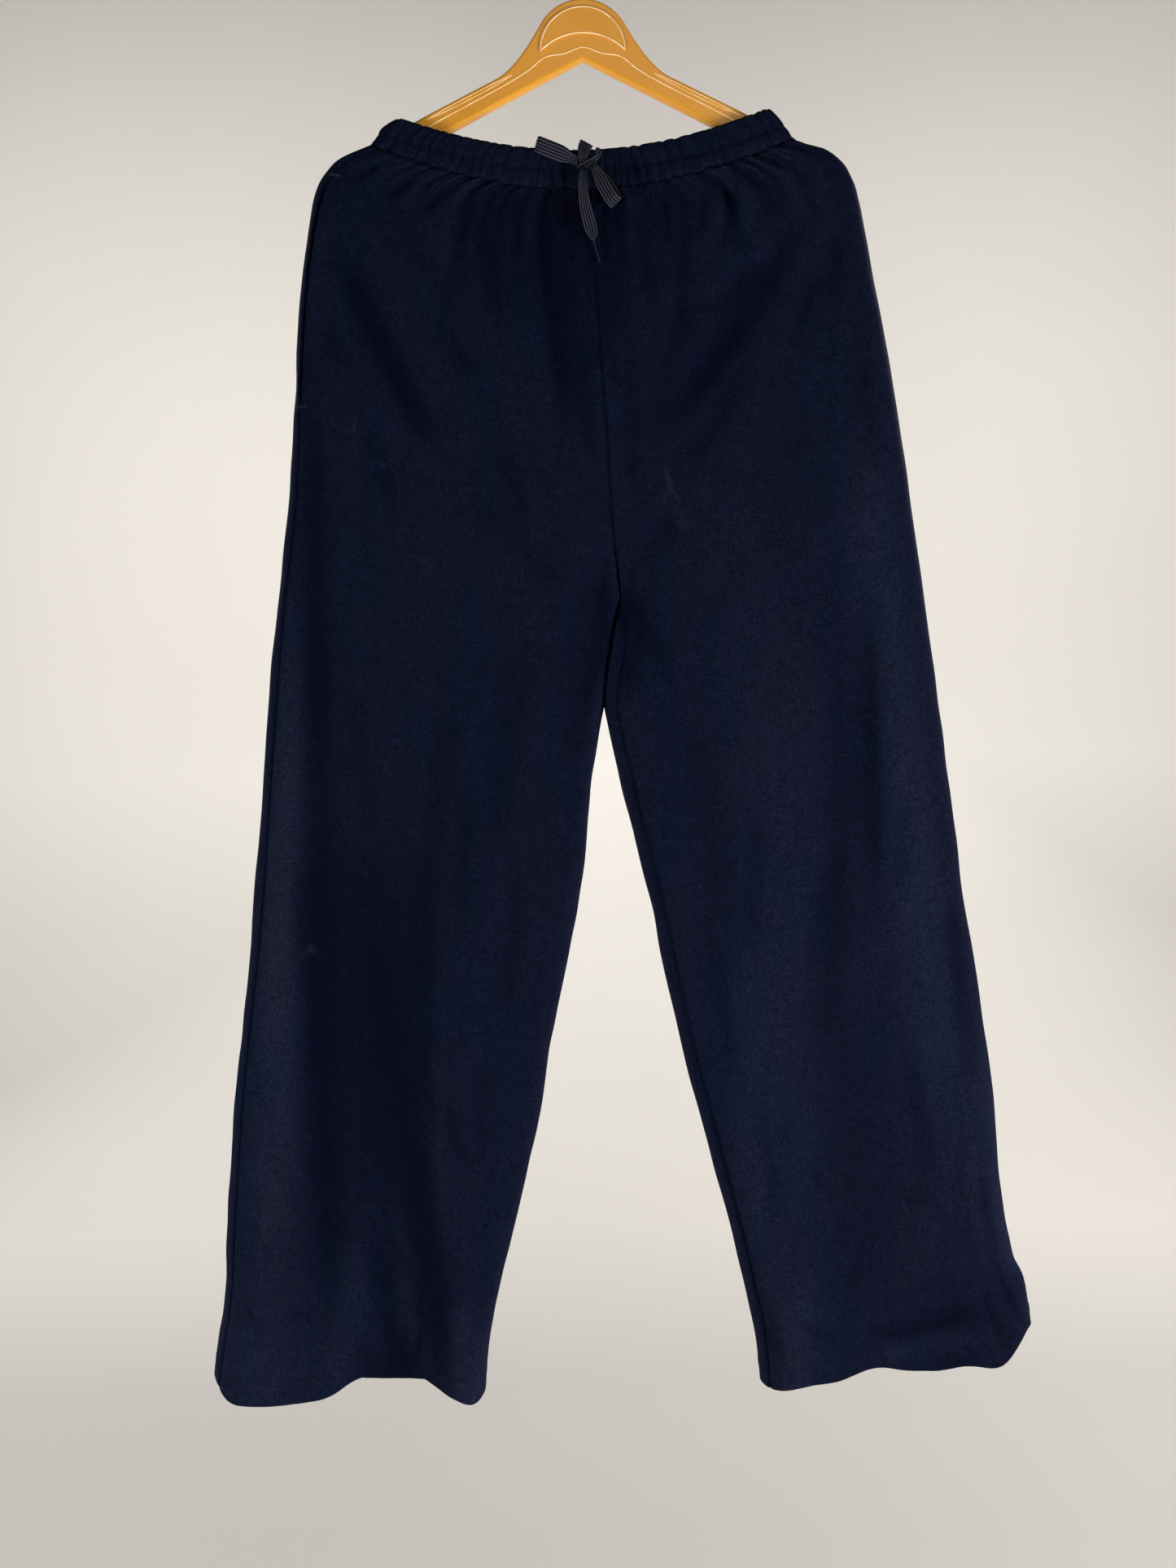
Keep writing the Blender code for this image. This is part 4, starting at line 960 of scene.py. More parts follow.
def uneven_roughness(tree, shader, noise, bounds):
    """The shader's roughness between two bounds, as a noise leads."""
    rough = tree.nodes.new("ShaderNodeMapRange")
    rough.inputs["To Min"].default_value, rough.inputs["To Max"].default_value = bounds
    tree.links.new(noise_node(tree, *noise), rough.inputs["Value"])
    tree.links.new(rough.outputs["Result"], shader.inputs["Roughness"])


def add_grain(tree, shader, noise, bump):
    """Fine relief from a noise, its bump given as distance and strength."""
    tree.links.new(bump_node(tree, noise_node(tree, *noise), *bump), shader.inputs["Normal"])


def floor_material():
    """The pale ground, with painted shade that darkens it where the lights stand close over it."""
    made, tree, shader = new_material("pale_ground", FLOOR_COLOUR, FLOOR_ROUGHNESS)
    place = tree.nodes.new("ShaderNodeSeparateXYZ")
    tree.links.new(object_place(tree), place.inputs["Vector"])
    along = math_node(tree, "ADD", place.outputs["Y"], place.outputs["Z"])
    along = math_node(tree, "MULTIPLY", math_node(tree, "ADD", along, FLOOR_DROP), 1.0 / FLOOR_SHADE_REACH)
    stops = [(at / FLOOR_SHADE_REACH, tuple(shade * part for part in FLOOR_TINT)) for at, shade in FLOOR_SHADES]
    cloudy = ramp_node(tree, noise_node(tree, *FLOOR_NOISE), FLOOR_CLOUDS)
    # Painted shade along the ground
    shade = ramp_node(tree, along, stops)
    tree.links.new(mix_colours(tree, 1.0, shade, cloudy, "MULTIPLY"), shader.inputs["Base Color"])
    set_values(shader, {"Specular IOR Level": FLOOR_GLOSS})
    return made


def knit_height(tree):
    """Height of plain knit: columns of slanted loops, from the cloth's own lengths in metres."""
    uv = tree.nodes.new("ShaderNodeUVMap")
    parts = tree.nodes.new("ShaderNodeSeparateXYZ")
    tree.links.new(uv.outputs["UV"], parts.inputs["Vector"])
    across = math_node(tree, "MULTIPLY", parts.outputs["X"], math.pi / KNIT_WALE)
    rib = math_node(tree, "ABSOLUTE", math_node(tree, "SINE", across))
    slant = math_node(tree, "COSINE", math_node(tree, "MULTIPLY", across, 2.0))
    slant = math_node(tree, "MULTIPLY", slant, KNIT_SLANT)
    down = math_node(tree, "MULTIPLY", parts.outputs["Y"], 2.0 * math.pi / KNIT_COURSE)
    loop = math_node(tree, "SINE", math_node(tree, "ADD", down, slant))
    return math_node(tree, "ADD", rib, math_node(tree, "MULTIPLY", loop, KNIT_LOOP_HEIGHT))


def jersey_material(name):
    """Soft navy jersey: fine knit, a slight melange, faint pile, painted light on ridges and painted shade in
    troughs, and pale marks.
    """
    made, tree, shader = new_material(name, MELANGE[0][1], JERSEY_PLAIN_ROUGHNESS)
    cloth = ramp_node(tree, noise_node(tree, *MELANGE_NOISE), MELANGE)
    stretched = tree.nodes.new("ShaderNodeMapping")
    stretched.inputs["Scale"].default_value = PATCH_STRETCH
    tree.links.new(object_place(tree), stretched.inputs["Vector"])
    patches = noise_node(tree, *PATCH_NOISE, stretched.outputs["Vector"])
    # Painted shade in troughs, creases, gathers and seams, and painted light on ridges
    painted_fold_shade = math_node(tree, "MULTIPLY", attribute_node(tree, "painted_fold_shade"), 0.5)
    layers = (
        (patches, FADED_PATCHES),
        (noise_node(tree, *PILE_NOISE), PILE),
        (math_node(tree, "ADD", painted_fold_shade, 0.5), PAINTED_RIDGE_LIGHT_TROUGH_SHADE),
    )
    for factor, stops in layers:
        cloth = mix_colours(tree, 1.0, cloth, ramp_node(tree, factor, stops), "MULTIPLY")
    broken = math_node(tree, "GREATER_THAN", noise_node(tree, *MARK_NOISE), MARK_BREAK)
    broken = math_node(tree, "ADD", broken, MARK_BASE)
    faded = math_node(tree, "MULTIPLY", attribute_node(tree, "mark"), broken)
    strength = math_node(tree, "MINIMUM", math_node(tree, "MULTIPLY", faded, MARK_STRENGTH), 1.0)
    tree.links.new(mix_colours(tree, strength, cloth, MARK_COLOUR), shader.inputs["Base Color"])
    uneven_roughness(tree, shader, *JERSEY_ROUGHNESS)
    normal = None
    for noise, (distance, strength) in JERSEY_GRAINS:
        normal = bump_node(tree, noise_node(tree, *noise), distance, strength, normal)
    normal = bump_node(tree, knit_height(tree), *KNIT_BUMP, normal)
    tree.links.new(normal, shader.inputs["Normal"])
    set_values(shader, JERSEY_SHADER)
    return made


def lace_material(name):
    """Charcoal braid, with painted shade between its ribs and painted highlights where the stitches stand up."""
    made, tree, shader = new_material(name, LACE_COLOUR, LACE_ROUGHNESS)
    fibres = ramp_node(tree, noise_node(tree, *LACE_NOISE), LACE_FIBRES)
    rib_shade_and_highlight = ramp_node(tree, attribute_node(tree, "rise"), LACE_PAINTED_SHADE_TO_HIGHLIGHT)
    tree.links.new(mix_colours(tree, 1.0, fibres, rib_shade_and_highlight, "MULTIPLY"), shader.inputs["Base Color"])
    add_grain(tree, shader, *LACE_GRAIN)
    set_values(shader, LACE_SHADER)
    return made


def plain_material(name):
    """A thread, plastic or metal from the table of looks."""
    look = LOOKS[name]
    made, tree, shader = new_material(name, look["colour"], look["roughness"], look.get("metallic", 0.0))
    low, high = look["clouds"]
    colour = ramp_node(tree, noise_node(tree, *look["noise"]), ((0.3, low), (0.7, high)))
    tree.links.new(colour, shader.inputs["Base Color"])
    if "uneven" in look:
        uneven_roughness(tree, shader, *look["uneven"])
    if "grain" in look:
        add_grain(tree, shader, *look["grain"])
    set_values(shader, look.get("shader", {}))
    return made


# The garment's form, as in the solids
def smooth_step(value):
    """0 below 0, 1 above 1, and a soft S between."""
    q = np.clip(value, 0.0, 1.0)
    return q * q * (3.0 - 2.0 * q)


def bell(value, width):
    """1 at 0, with a soft fall to nothing on both sides."""
    return np.exp(-((value / width) ** 2))


def path_lengths(points):
    """Distances along a line of points, from its start to each of them."""
    return np.concatenate([[0.0], np.cumsum(np.linalg.norm(np.diff(points, axis=0), axis=1))])


def read_along(at, along, values):
    """The columns of values, read at one or more distances along a line."""
    return np.stack([np.interp(at, along, column) for column in values.T], axis=-1)


def unit(values):
    """Directions of length 1."""
    return values / np.maximum(np.linalg.norm(values, axis=-1, keepdims=True), 1e-9)


def end_round(share):
    """Rises from 0 at a folded edge to 1 one radius further in, as a quarter circle does."""
    q = np.clip(share, 0.0, 1.0)
    return np.sqrt(q * (2.0 - q))


def read_table(rows, columns, name, drop):
    """A column of a table at any drop, on a smooth curve through its rows."""
    drops = np.array([row[0] for row in rows], float)
    values = np.array([row[columns.index(name)] for row in rows], float)
    slopes = np.gradient(values, drops)
    at = float(np.clip(drop, drops[0], drops[-1]))
    i = int(np.clip(np.searchsorted(drops, at) - 1, 0, len(drops) - 2))
    step = drops[i + 1] - drops[i]
    q = (at - drops[i]) / step
    start = (1 + 2 * q) * (1 - q) ** 2 * values[i] + q * (1 - q) ** 2 * step * slopes[i]
    end = q * q * (3 - 2 * q) * values[i + 1] + q * q * (q - 1) * step * slopes[i + 1]
    return start + end


def section(name, drop):
    """A size of the garment's section at one drop."""
    return read_table(SECTIONS, SECTION_COLUMNS, name, drop)


def side_name(side):
    """The ending of a column's name for one side."""
    return "right" if side == RIGHT else "left"


def folded(folds, x, drop):
    """How far folds press the cloth in at places of one face."""
    total = np.zeros_like(x)
    for x0, drop0, x1, drop1, bow, width, depth in folds:
        along_x, along_drop = x1 - x0, drop1 - drop0
        length = math.hypot(along_x, along_drop)
        share = ((x - x0) * along_x + (drop - drop0) * along_drop) / length**2
        aside = ((x - x0) * along_drop - (drop - drop0) * along_x) / length
        inside = np.clip(share, 0.0, 1.0)
        aside = aside + bow * 4.0 * inside * (1.0 - inside)
        taper = smooth_step(share / FOLD_FADE) * smooth_step((1.0 - share) / FOLD_FADE)
        total = total + depth * taper * bell(aside, width)
    return total


def inner_edge(side, face, drop):
    """Where one leg's outline starts, and where its rounded inner end would start, on the leg's own side."""
    if drop >= CROTCH:
        edge = read_table(INNERS, INNER_COLUMNS, "in_" + side_name(side), drop)
        return edge, edge
    seam = side * read_table(CENTRES, CENTRE_COLUMNS, face, drop)
    valley = min((CROTCH - drop) / VALLEY_HEIGHT, 1.0)
    return seam, seam - valley * section("depth", drop)


def leg_outline(side, drop):
    """A leg's outline at one drop: from its inner seam across the front, round the side and back.

    Gives the points, the outward normals, the distance along, and the distance of the outer edge.
    """
    out = section("out_" + side_name(side), drop)
    depth = section("depth", drop)
    crowded = 0.5 - 0.5 * np.cos(np.linspace(0.0, math.pi, OUTLINE_SAMPLES))
    halves = []
    for face in (FRONT, BACK):
        start, edge = inner_edge(side, face, drop)
        across = start + (out - start) * crowded
        ends = end_round((across - edge) / depth) * end_round((out - across) / depth)
        share = folded(FOLDS[face], side * across, drop) / depth
        most = np.where(share > 0, MOST_TROUGH, MOST_RIDGE)
        pressed = most * np.tanh(share / most)
        half = depth * ends * (1.0 - pressed)
        y = -half if face == FRONT else half
        halves.append(np.stack([side * across, y], axis=1))
    points = np.concatenate([halves[0], halves[1][::-1][1:]])
    along = path_lengths(points)
    if drop >= CROTCH:
        ring = np.concatenate([points[-3:-1], points, points[1:3]])
        tangents = ring[3:-1] - ring[1:-3]
    else:
        tangents = np.gradient(points, axis=0)
    normals = side * np.stack([tangents[:, 1], -tangents[:, 0]], axis=1)
    if drop < CROTCH:
        normals[0] = (0.0, -1.0)
        normals[-1] = (0.0, 1.0)
    return points, unit(normals), along, along[OUTLINE_SAMPLES - 1]


def read_outline(outline, distance, closed):
    """Points and normals at distances along an outline."""
    points, normals, along, _ = outline
    at = np.mod(distance, along[-1]) if closed else np.clip(distance, 0.0, along[-1])
    return read_along(at, along, points), unit(read_along(at, along, normals))


def hem_rise(x, y, drop):
    """How much higher than its own level the cloth hangs near the hem."""
    frontness = 0.5 - 0.5 * np.clip(y / section("depth", drop), -1.0, 1.0)
    total = np.zeros_like(x)
    for centre, width, rise, face in HEM_RISES:
        weight = {FRONT: frontness, BACK: 1.0 - frontness, None: 1.0}[face]
        total = total + weight * rise * bell(x - centre, width)
    return total * smooth_step((drop - HEM_RISE_START) / (HEM - HEM_RISE_START)) ** 2


def height(x, y, drop):
    """The height of the cloth at a place on the section of one drop."""
    outs = np.where(x < 0, section("out_right", drop), section("out_left", drop))
    rises = np.where(x < 0, section("rise_right", drop), section("rise_left", drop))
    side = rises * np.clip(np.abs(x) / outs, 0.0, 1.0) ** SIDE_RISE_POWER
    return -drop + side + hem_rise(x, y, drop)


def mouth_gap(side, drop):
    """Half of the gap at the side seam, wider along the pocket's mouth."""
    if side != RIGHT:
        return SEAM_GAP / 2
    return SEAM_GAP / 2 + mouth_share(drop) * POCKET_MOUTH_GAP / 2


def mouth_share(drop):
    """1 along the pocket's mouth, 0 beyond its ends."""
    opened = smooth_step((drop - POCKET_TOP) / POCKET_FADE)
    return opened * smooth_step((POCKET_BOTTOM - drop) / POCKET_FADE)


def cloth_at(outline, drop, distance):
    """Places on the cloth at distances along an outline, and the level directions out of it."""
    point, normal = read_outline(outline, distance, drop >= CROTCH)
    z = height(point[:, 0], point[:, 1], drop)
    return np.column_stack([point, z]), np.column_stack([normal, np.zeros(len(z))])


def panel_distances(outline, side, face, drop, columns):
    """Distances along the outline of a panel's columns, from its inner seam to its side seam."""
    turn = side * SEAM_TURN
    inner = turn * float(smooth_step((drop - CROTCH) / SEAM_TURN_RAMP))
    middle, end = outline[3] + turn, outline[2][-1] + inner
    share = np.linspace(0.0, 1.0, columns + 1)
    spread = share - COLUMN_CROWDING * np.sin(2.0 * math.pi * share) / (2.0 * math.pi)
    if face == FRONT:
        first, last = inner + SEAM_GAP / 2, middle - mouth_gap(side, drop)
    else:
        first, last = end - SEAM_GAP / 2, middle + mouth_gap(side, drop)
    return first + (last - first) * spread


def panel_grid(side, face, drops, columns):
    """A panel's places before its fine forms, the directions out of it and the distances across it."""
    places, across, levels, spans = [], [], [], []
    for drop in drops:
        outline = leg_outline(side, drop)
        distance = panel_distances(outline, side, face, drop, columns)
        place, level = cloth_at(outline, drop, distance)
        step = cloth_at(outline, drop, distance + NUDGE)[0] - cloth_at(outline, drop, distance - NUDGE)[0]
        if drop < CROTCH:
            step[0] = (1.0, 0.0, 0.0)
        places.append(place)
        across.append(step)
        levels.append(level)
        spans.append(np.abs(distance - distance[0]))
    places, across, levels = np.array(places), np.array(across), np.array(levels)
    down = np.gradient(places, drops, axis=0)
    out = np.cross(across, down)
    out *= np.sign(np.sum(out * levels, axis=2))[..., None]
    return places, unit(out), np.array(spans)


# Fine forms of the cloth
def random_gathers(sizes, chance):
    """Places, half-widths, heights, lengths and leans of one kind of gather, places as shares of a quarter."""
    count, narrow, wide, low, tall, short, long = sizes
    places = (np.arange(count) + chance.uniform(*GATHER_PLACES, count)) / count
    widths = chance.uniform(narrow, wide, count)
    heights = low + (tall - low) * chance.uniform(0.0, 1.0, count) ** GATHER_HEIGHT_POWER
    lengths = short + (long - short) * chance.uniform(0.0, 1.0, count) ** GATHER_LENGTH_POWER
    return zip(places, widths, heights, lengths, chance.normal(0.0, GATHER_LEAN, count))


def gather_form(spans, drops, seed):
    """Gathers below the waist seam: narrow valleys, each with its own width, depth and length, softer ridges."""
    chance = np.random.default_rng(seed)
    below = drops[:, None] - WAIST_SEAM
    share = spans / spans[:, -1:]
    total = np.zeros_like(spans)
    for sizes in (SHORT_GATHERS, LONG_GATHERS):
        for place, width, tall, length, lean in random_gathers(sizes, chance):
            fade = 1.0 - smooth_step(below / length)
            aside = (share - place - lean * below / length) * spans[0, -1]
            broad = width * (1.0 + GATHER_SPREAD * smooth_step(below / length))
            valley = bell(aside, broad) - GATHER_RIDGE * bell(aside, GATHER_RIDGE_WIDTH * broad)
            total = total - GATHER_PRESS * tall * fade * valley
    beside = 1.0 - (1.0 - GATHER_SIDE_FADE) * smooth_step((share - GATHER_SIDE_START) / GATHER_SIDE_REACH)
    return total * beside


def clear_of_edges(spans, margin):
    """1 over a panel's width, falling to 0 at its two edges."""
    return smooth_step(spans / margin) * smooth_step((spans[..., -1:] - spans) / margin)


def seam_wave(side, face, spans):
    """How far the gathers pull the waist seam up or down along one quarter."""
    start = SEAM_WAVE_STARTS[(side, face)]
    total = np.zeros_like(spans)
    for tall, length, sway, sway_length in SEAM_WAVES:
        total = total + tall * np.sin(2.0 * math.pi * spans / length + sway * np.sin(spans / sway_length + start))
    return total * clear_of_edges(spans, SEAM_WAVE_MARGIN)


def uneven_form(x, drop, seed):
    """Soft low waves of all directions, as hanging cloth has."""
    chance = np.random.default_rng(seed)
    total = np.zeros_like(x)
    for _ in range(UNEVEN_WAVES):
        length = chance.uniform(UNEVEN_SHORTEST, UNEVEN_LONGEST)
        heading = chance.normal(0.0, UNEVEN_TURN)
        start = chance.uniform(0.0, 2.0 * math.pi)
        turn = 2.0 * math.pi / length
        tall = UNEVEN_HEIGHT * (length / UNEVEN_LONGEST) ** UNEVEN_POWER
        total = total + tall * np.sin(turn * (x * math.cos(heading) + drop * math.sin(heading)) + start)
    return total


def seam_form(side, spans, drops):
    """A panel's edges dip into its seams, and the cloth beside them is slightly puckered."""
    width = spans[:, -1:]
    down = drops[:, None]
    total = np.zeros_like(spans)
    apart = np.where(down < CROTCH, 1.0, smooth_step((down - CROTCH) / SEAM_TURN_RAMP))
    for aside, kept in ((spans, apart), (width - spans, 1.0)):
        pucker = np.sin(2.0 * math.pi * down / PUCKER_LENGTH + PUCKER_SWAY * np.sin(down / PUCKER_SWAY_LENGTH))
        total = total - SEAM_GROOVE * kept * bell(aside, SEAM_GROOVE_WIDTH)
        total = total + PUCKER_HEIGHT * kept * pucker * bell(aside, PUCKER_REACH)
    if side == RIGHT:
        total = total + POCKET_LIP * mouth_share(down) * bell(width - spans, POCKET_LIP_REACH)
    return total


def tip_distance(side, face, spans, drops):
    """How far places of a panel are from the innermost line of its leg, round the leg."""
    turned = SEAM_TURN * smooth_step((drops[:, None] - CROTCH) / SEAM_TURN_RAMP)
    return spans + turned * side * (1.0 if face == FRONT else -1.0)


def touching_legs(down):
    """1 just below the crotch, where the two legs lie against each other, and 0 above and well below."""
    return smooth_step((down - TOUCH_START) / TOUCH_FADE_IN) * smooth_step((TOUCH_END - down) / TOUCH_FADE_OUT)


def hem_form(spans, drops):
    """The turned-up hem is thicker, pulled in along its stitches and slightly roped below them."""
    above = HEM - drops[:, None]
    thick = HEM_EXTRA * smooth_step((HEM_DEPTH + HEM_STEP / 2 - above) / HEM_STEP)
    stitched = -HEM_STITCH_DIP * bell(above - HEM_DEPTH + HEM_STITCH_INSET, HEM_STITCH_REACH)
    sway = HEM_PUCKER_SWAY * np.sin(spans / HEM_PUCKER_SWAY_LENGTH)
    slanted = np.sin(2.0 * math.pi * (spans + HEM_PUCKER_LEAN * above) / HEM_PUCKER_LENGTH + sway)
    return thick + stitched + HEM_PUCKER_HEIGHT * slanted * bell(above - HEM_DEPTH / 2, HEM_PUCKER_REACH)


def mark_strength(x, drop, y):
    """How strong the pale marks are, on the front only."""
    total = np.zeros_like(x)
    for x0, drop0, x1, drop1, width, strength in MARKS:
        along_x, along_drop = x1 - x0, drop1 - drop0
        share = ((x - x0) * along_x + (drop - drop0) * along_drop) / (along_x**2 + along_drop**2)
        inside = np.clip(share, 0.0, 1.0)
        far = np.hypot(x - x0 - inside * along_x, drop - drop0 - inside * along_drop)
        total = np.maximum(total, strength * bell(far, width))
    return np.where(y < 0, total, 0.0)


# Meshes
def link_piece(name, mesh, material):
    """Puts a mesh into the scene as a smooth piece that rides on the part's one body."""
    mesh.materials.append(material)
    mesh.shade_smooth()
    made = link_object(name, mesh)
    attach(made, "root")
    return made


def grid_faces(rows, columns, start, closed_rows=False, closed_columns=False):
    """Four-sided faces of a grid of points that is numbered from start."""
    index = start + np.arange(rows * columns).reshape(rows, columns)
    if closed_rows:
        index = np.vstack([index, index[:1]])
    if closed_columns:
        index = np.hstack([index, index[:, :1]])
    corners = (index[:-1, :-1], index[:-1, 1:], index[1:, 1:], index[1:, :-1])
    return np.stack(corners, axis=-1).reshape(-1, 4)


def mesh_of(name, points, faces):
    """A mesh from arrays, its faces pointing out."""
    mesh = bpy.data.meshes.new(name)
    mesh.from_pydata(points.tolist(), [], [list(face) for face in faces])
    work = bmesh.new()
    work.from_mesh(mesh)
    bmesh.ops.recalc_face_normals(work, faces=work.faces)
    work.to_mesh(mesh)
    work.free()
    return mesh


def set_lengths(mesh, lengths):
    """The cloth's own lengths across and down at each point, as the UVs that its knit reads."""
    corners = np.empty(len(mesh.loops), dtype=np.int32)
    mesh.loops.foreach_get("vertex_index", corners)
    layer = mesh.uv_layers.new(name="UVMap")
    layer.data.foreach_set("uv", (lengths * MM)[corners].ravel())


def shell(name, outer, inner, spans, drops, material):
    """A thin shell of cloth between two grids, closed along its edges, with its lengths as UVs."""
    rows, columns = outer.shape[:2]
    count = rows * columns
    points = np.concatenate([outer.reshape(-1, 3), inner.reshape(-1, 3)]) * MM
    faces = [*grid_faces(rows, columns, 0), *grid_faces(rows, columns, count)[:, ::-1]]
    rim = [*range(columns)]
    rim += [i * columns + columns - 1 for i in range(1, rows)]
    rim += [(rows - 1) * columns + i for i in range(columns - 2, -1, -1)]
    rim += [i * columns for i in range(rows - 2, 0, -1)]
    for i, first in enumerate(rim):
        second = rim[(i + 1) % len(rim)]
        faces.append((first, first + count, second + count, second))
    mesh = mesh_of(name, points, faces)
    lengths = np.stack([spans, np.broadcast_to(drops[:, None], spans.shape)], axis=-1).reshape(-1, 2)
    set_lengths(mesh, np.concatenate([lengths, lengths]))
    return link_piece(name, mesh, material)


def add_attribute(mesh, name, values):
    """A number for every point of a mesh, which its material reads."""
    layer = mesh.attributes.new(name, "FLOAT", "POINT")
    layer.data.foreach_set("value", np.asarray(values, dtype=np.float32))


def leg_drops():
    """Drops of the legs' rows, close together where the gathers and the hem are."""
    hem_top = HEM - HEM_DEPTH
    hip = np.arange(WAIST_SEAM, GATHER_END, HIP_STEP)
    leg = np.linspace(GATHER_END, hem_top - 2.0 * HEM_ROWS_ABOVE, round((hem_top - GATHER_END) / LEG_STEP))
    return np.concatenate([hip, leg, np.linspace(hem_top - HEM_ROWS_ABOVE, HEM, HEM_ROWS)])


def leg_panel(side, face, cloth, seed):
    """One of the four leg panels, as a thin shell. Gives its outer surface and directions out of it."""
    drops = leg_drops()
    places, out, spans = panel_grid(side, face, drops, PANEL_COLUMNS)
    x, drop = places[..., 0], np.broadcast_to(drops[:, None], spans.shape)
    creases = folded(CREASES[face], x, -places[..., 2])
    away = clear_of_edges(spans, CREASE_MARGIN)
    inner_side = touching_legs(drop) * bell(tip_distance(side, face, spans, drops), TOUCH_REACH)
    gathers = gather_form(spans, drops, seed)
    shades = folded(FRONT_SHADES, x, -places[..., 2]) if face == FRONT else np.zeros_like(x)
    raised = gathers - (creases + SHADE_PRESS * shades) * away
    below = drop - WAIST_SEAM
    raised = raised + uneven_form(x, drop, seed + UNEVEN_SEED_STEP) * away * smooth_step(below / UNEVEN_START)
    raised = raised + seam_form(side, spans, drops) + hem_form(spans, drops) + TOUCH_OUT * inner_side
    raised = raised + WAIST_ROLL * bell(below, WAIST_ROLL_REACH)
    places[..., 2] += bell(below, SEAM_WAVE_REACH) * seam_wave(side, face, spans[:1])
    outer = places + out * raised[..., None]
    wall = CLOTH_WALL + 2.0 * HEM_EXTRA * smooth_step((HEM_DEPTH - HEM + drop) / HEM_STEP)
    inner = places + out * (raised - wall)[..., None]
    name = f"{face}_{side_name(side)}_leg"
    piece = shell(name + "_cloth", outer, inner, spans, drops, cloth)
    mark = mark_strength(x, -places[..., 2], places[..., 1])
    add_attribute(piece.data, "mark", np.concatenate([mark.ravel(), mark.ravel()]))
    # Painted shade for troughs, creases, gathers and seams, and painted light for ridges, kept as a point
    # attribute
    large = folded(FOLDS[face], x, -places[..., 2])
    trough = (large / FOLD_SHADE_DEPTH + (creases * away - gathers) / CREASE_SHADE_DEPTH
              + shades / SHADE_DEPTH)
    for aside in (spans, spans[:, -1:] - spans):
        trough = trough + SEAM_SHADE * bell(aside, SEAM_SHADE_WIDTH)
    trough = np.tanh(trough + FOLD_SHADE_SHIFT)
    add_attribute(piece.data, "painted_fold_shade", np.concatenate([trough.ravel(), trough.ravel()]))
    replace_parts(piece, name)
    return piece, outer, out, drops


def stitch_row(points, normals):
    """Stitches along a line: short threads laid end to end, as one list of points and one of faces."""
    along = path_lengths(points)
    vertices, faces = [], []
    for start in np.arange(STITCH_START, along[-1] - STITCH_LENGTH, STITCH_PITCH):
        first = read_along(start, along, points)
        heading = unit(read_along(start + STITCH_LENGTH, along, points) - first)
        normal = read_along(start + STITCH_LENGTH / 2, along, normals)
        normal = unit(normal - heading * normal.dot(heading))
        aside = np.cross(heading, normal)
        base = len(vertices)
        for share, lift, thick in STITCH_RINGS:
            middle = first + heading * STITCH_LENGTH * share + normal * THREAD_RADIUS * lift
            for k in range(STITCH_SIDES):
                turn = 2.0 * math.pi * k / STITCH_SIDES
                round_place = aside * math.cos(turn) + normal * math.sin(turn)
                vertices.append(middle + round_place * THREAD_RADIUS * thick)
        faces += [tuple(face) for face in grid_faces(len(STITCH_RINGS), STITCH_SIDES, base, closed_columns=True)]
        last = base + (len(STITCH_RINGS) - 1) * STITCH_SIDES
        faces.append(tuple(range(base, base + STITCH_SIDES)))
        faces.append(tuple(range(last + STITCH_SIDES - 1, last - 1, -1)))
    return vertices, faces


def joined_stitches(name, lines, thread):
    """One piece from several rows of stitches."""
    points, faces = [], []
    for line, normals in lines:
        more, sides = stitch_row(line, normals)
        faces += [tuple(i + len(points) for i in face) for face in sides]
        points += more
    piece = link_piece(name, mesh_of(name, np.array(points) * MM, faces), thread)


def row_at(outer, out, drops, drop):
    """The cloth's surface along one drop."""
    i = int(np.clip(np.searchsorted(drops, drop) - 1, 0, len(drops) - 2))
    share = (drop - drops[i]) / (drops[i + 1] - drops[i])
    line = outer[i] * (1.0 - share) + outer[i + 1] * share
    normal = out[i] * (1.0 - share) + out[i + 1] * share
    return line, normal


def bartacks(panels, thread):
    """The two close rows of zigzag that close the ends of the pocket's mouth, over both sides of its seam."""
    lines = []
    for drop in (POCKET_TOP - BARTACK_AWAY, POCKET_BOTTOM + BARTACK_AWAY):
        rows = {}
        for face in (FRONT, BACK):
            _, outer, out, drops = panels[(RIGHT, face)]
            line, normal = row_at(outer, out, drops, drop)
            rows[face] = (path_lengths(line[::-1]), line[::-1], normal[::-1])
        for i in range(BARTACK_STITCHES):
            reach = BARTACK_LENGTH * i / (BARTACK_STITCHES - 1) - BARTACK_BEHIND
            away, line, normal = rows[FRONT if reach > 0.0 else BACK]
            up = read_along(abs(reach), away, normal)
            place = read_along(abs(reach), away, line) + up * BARTACK_LIFT
            half = np.array([BARTACK_ZIGZAG * (-1) ** i, 0.0, BARTACK_HALF])
            lines.append((np.array([place - half, place + half]), np.array([up, up])))
    joined_stitches("pocket_bartacks", lines, thread)


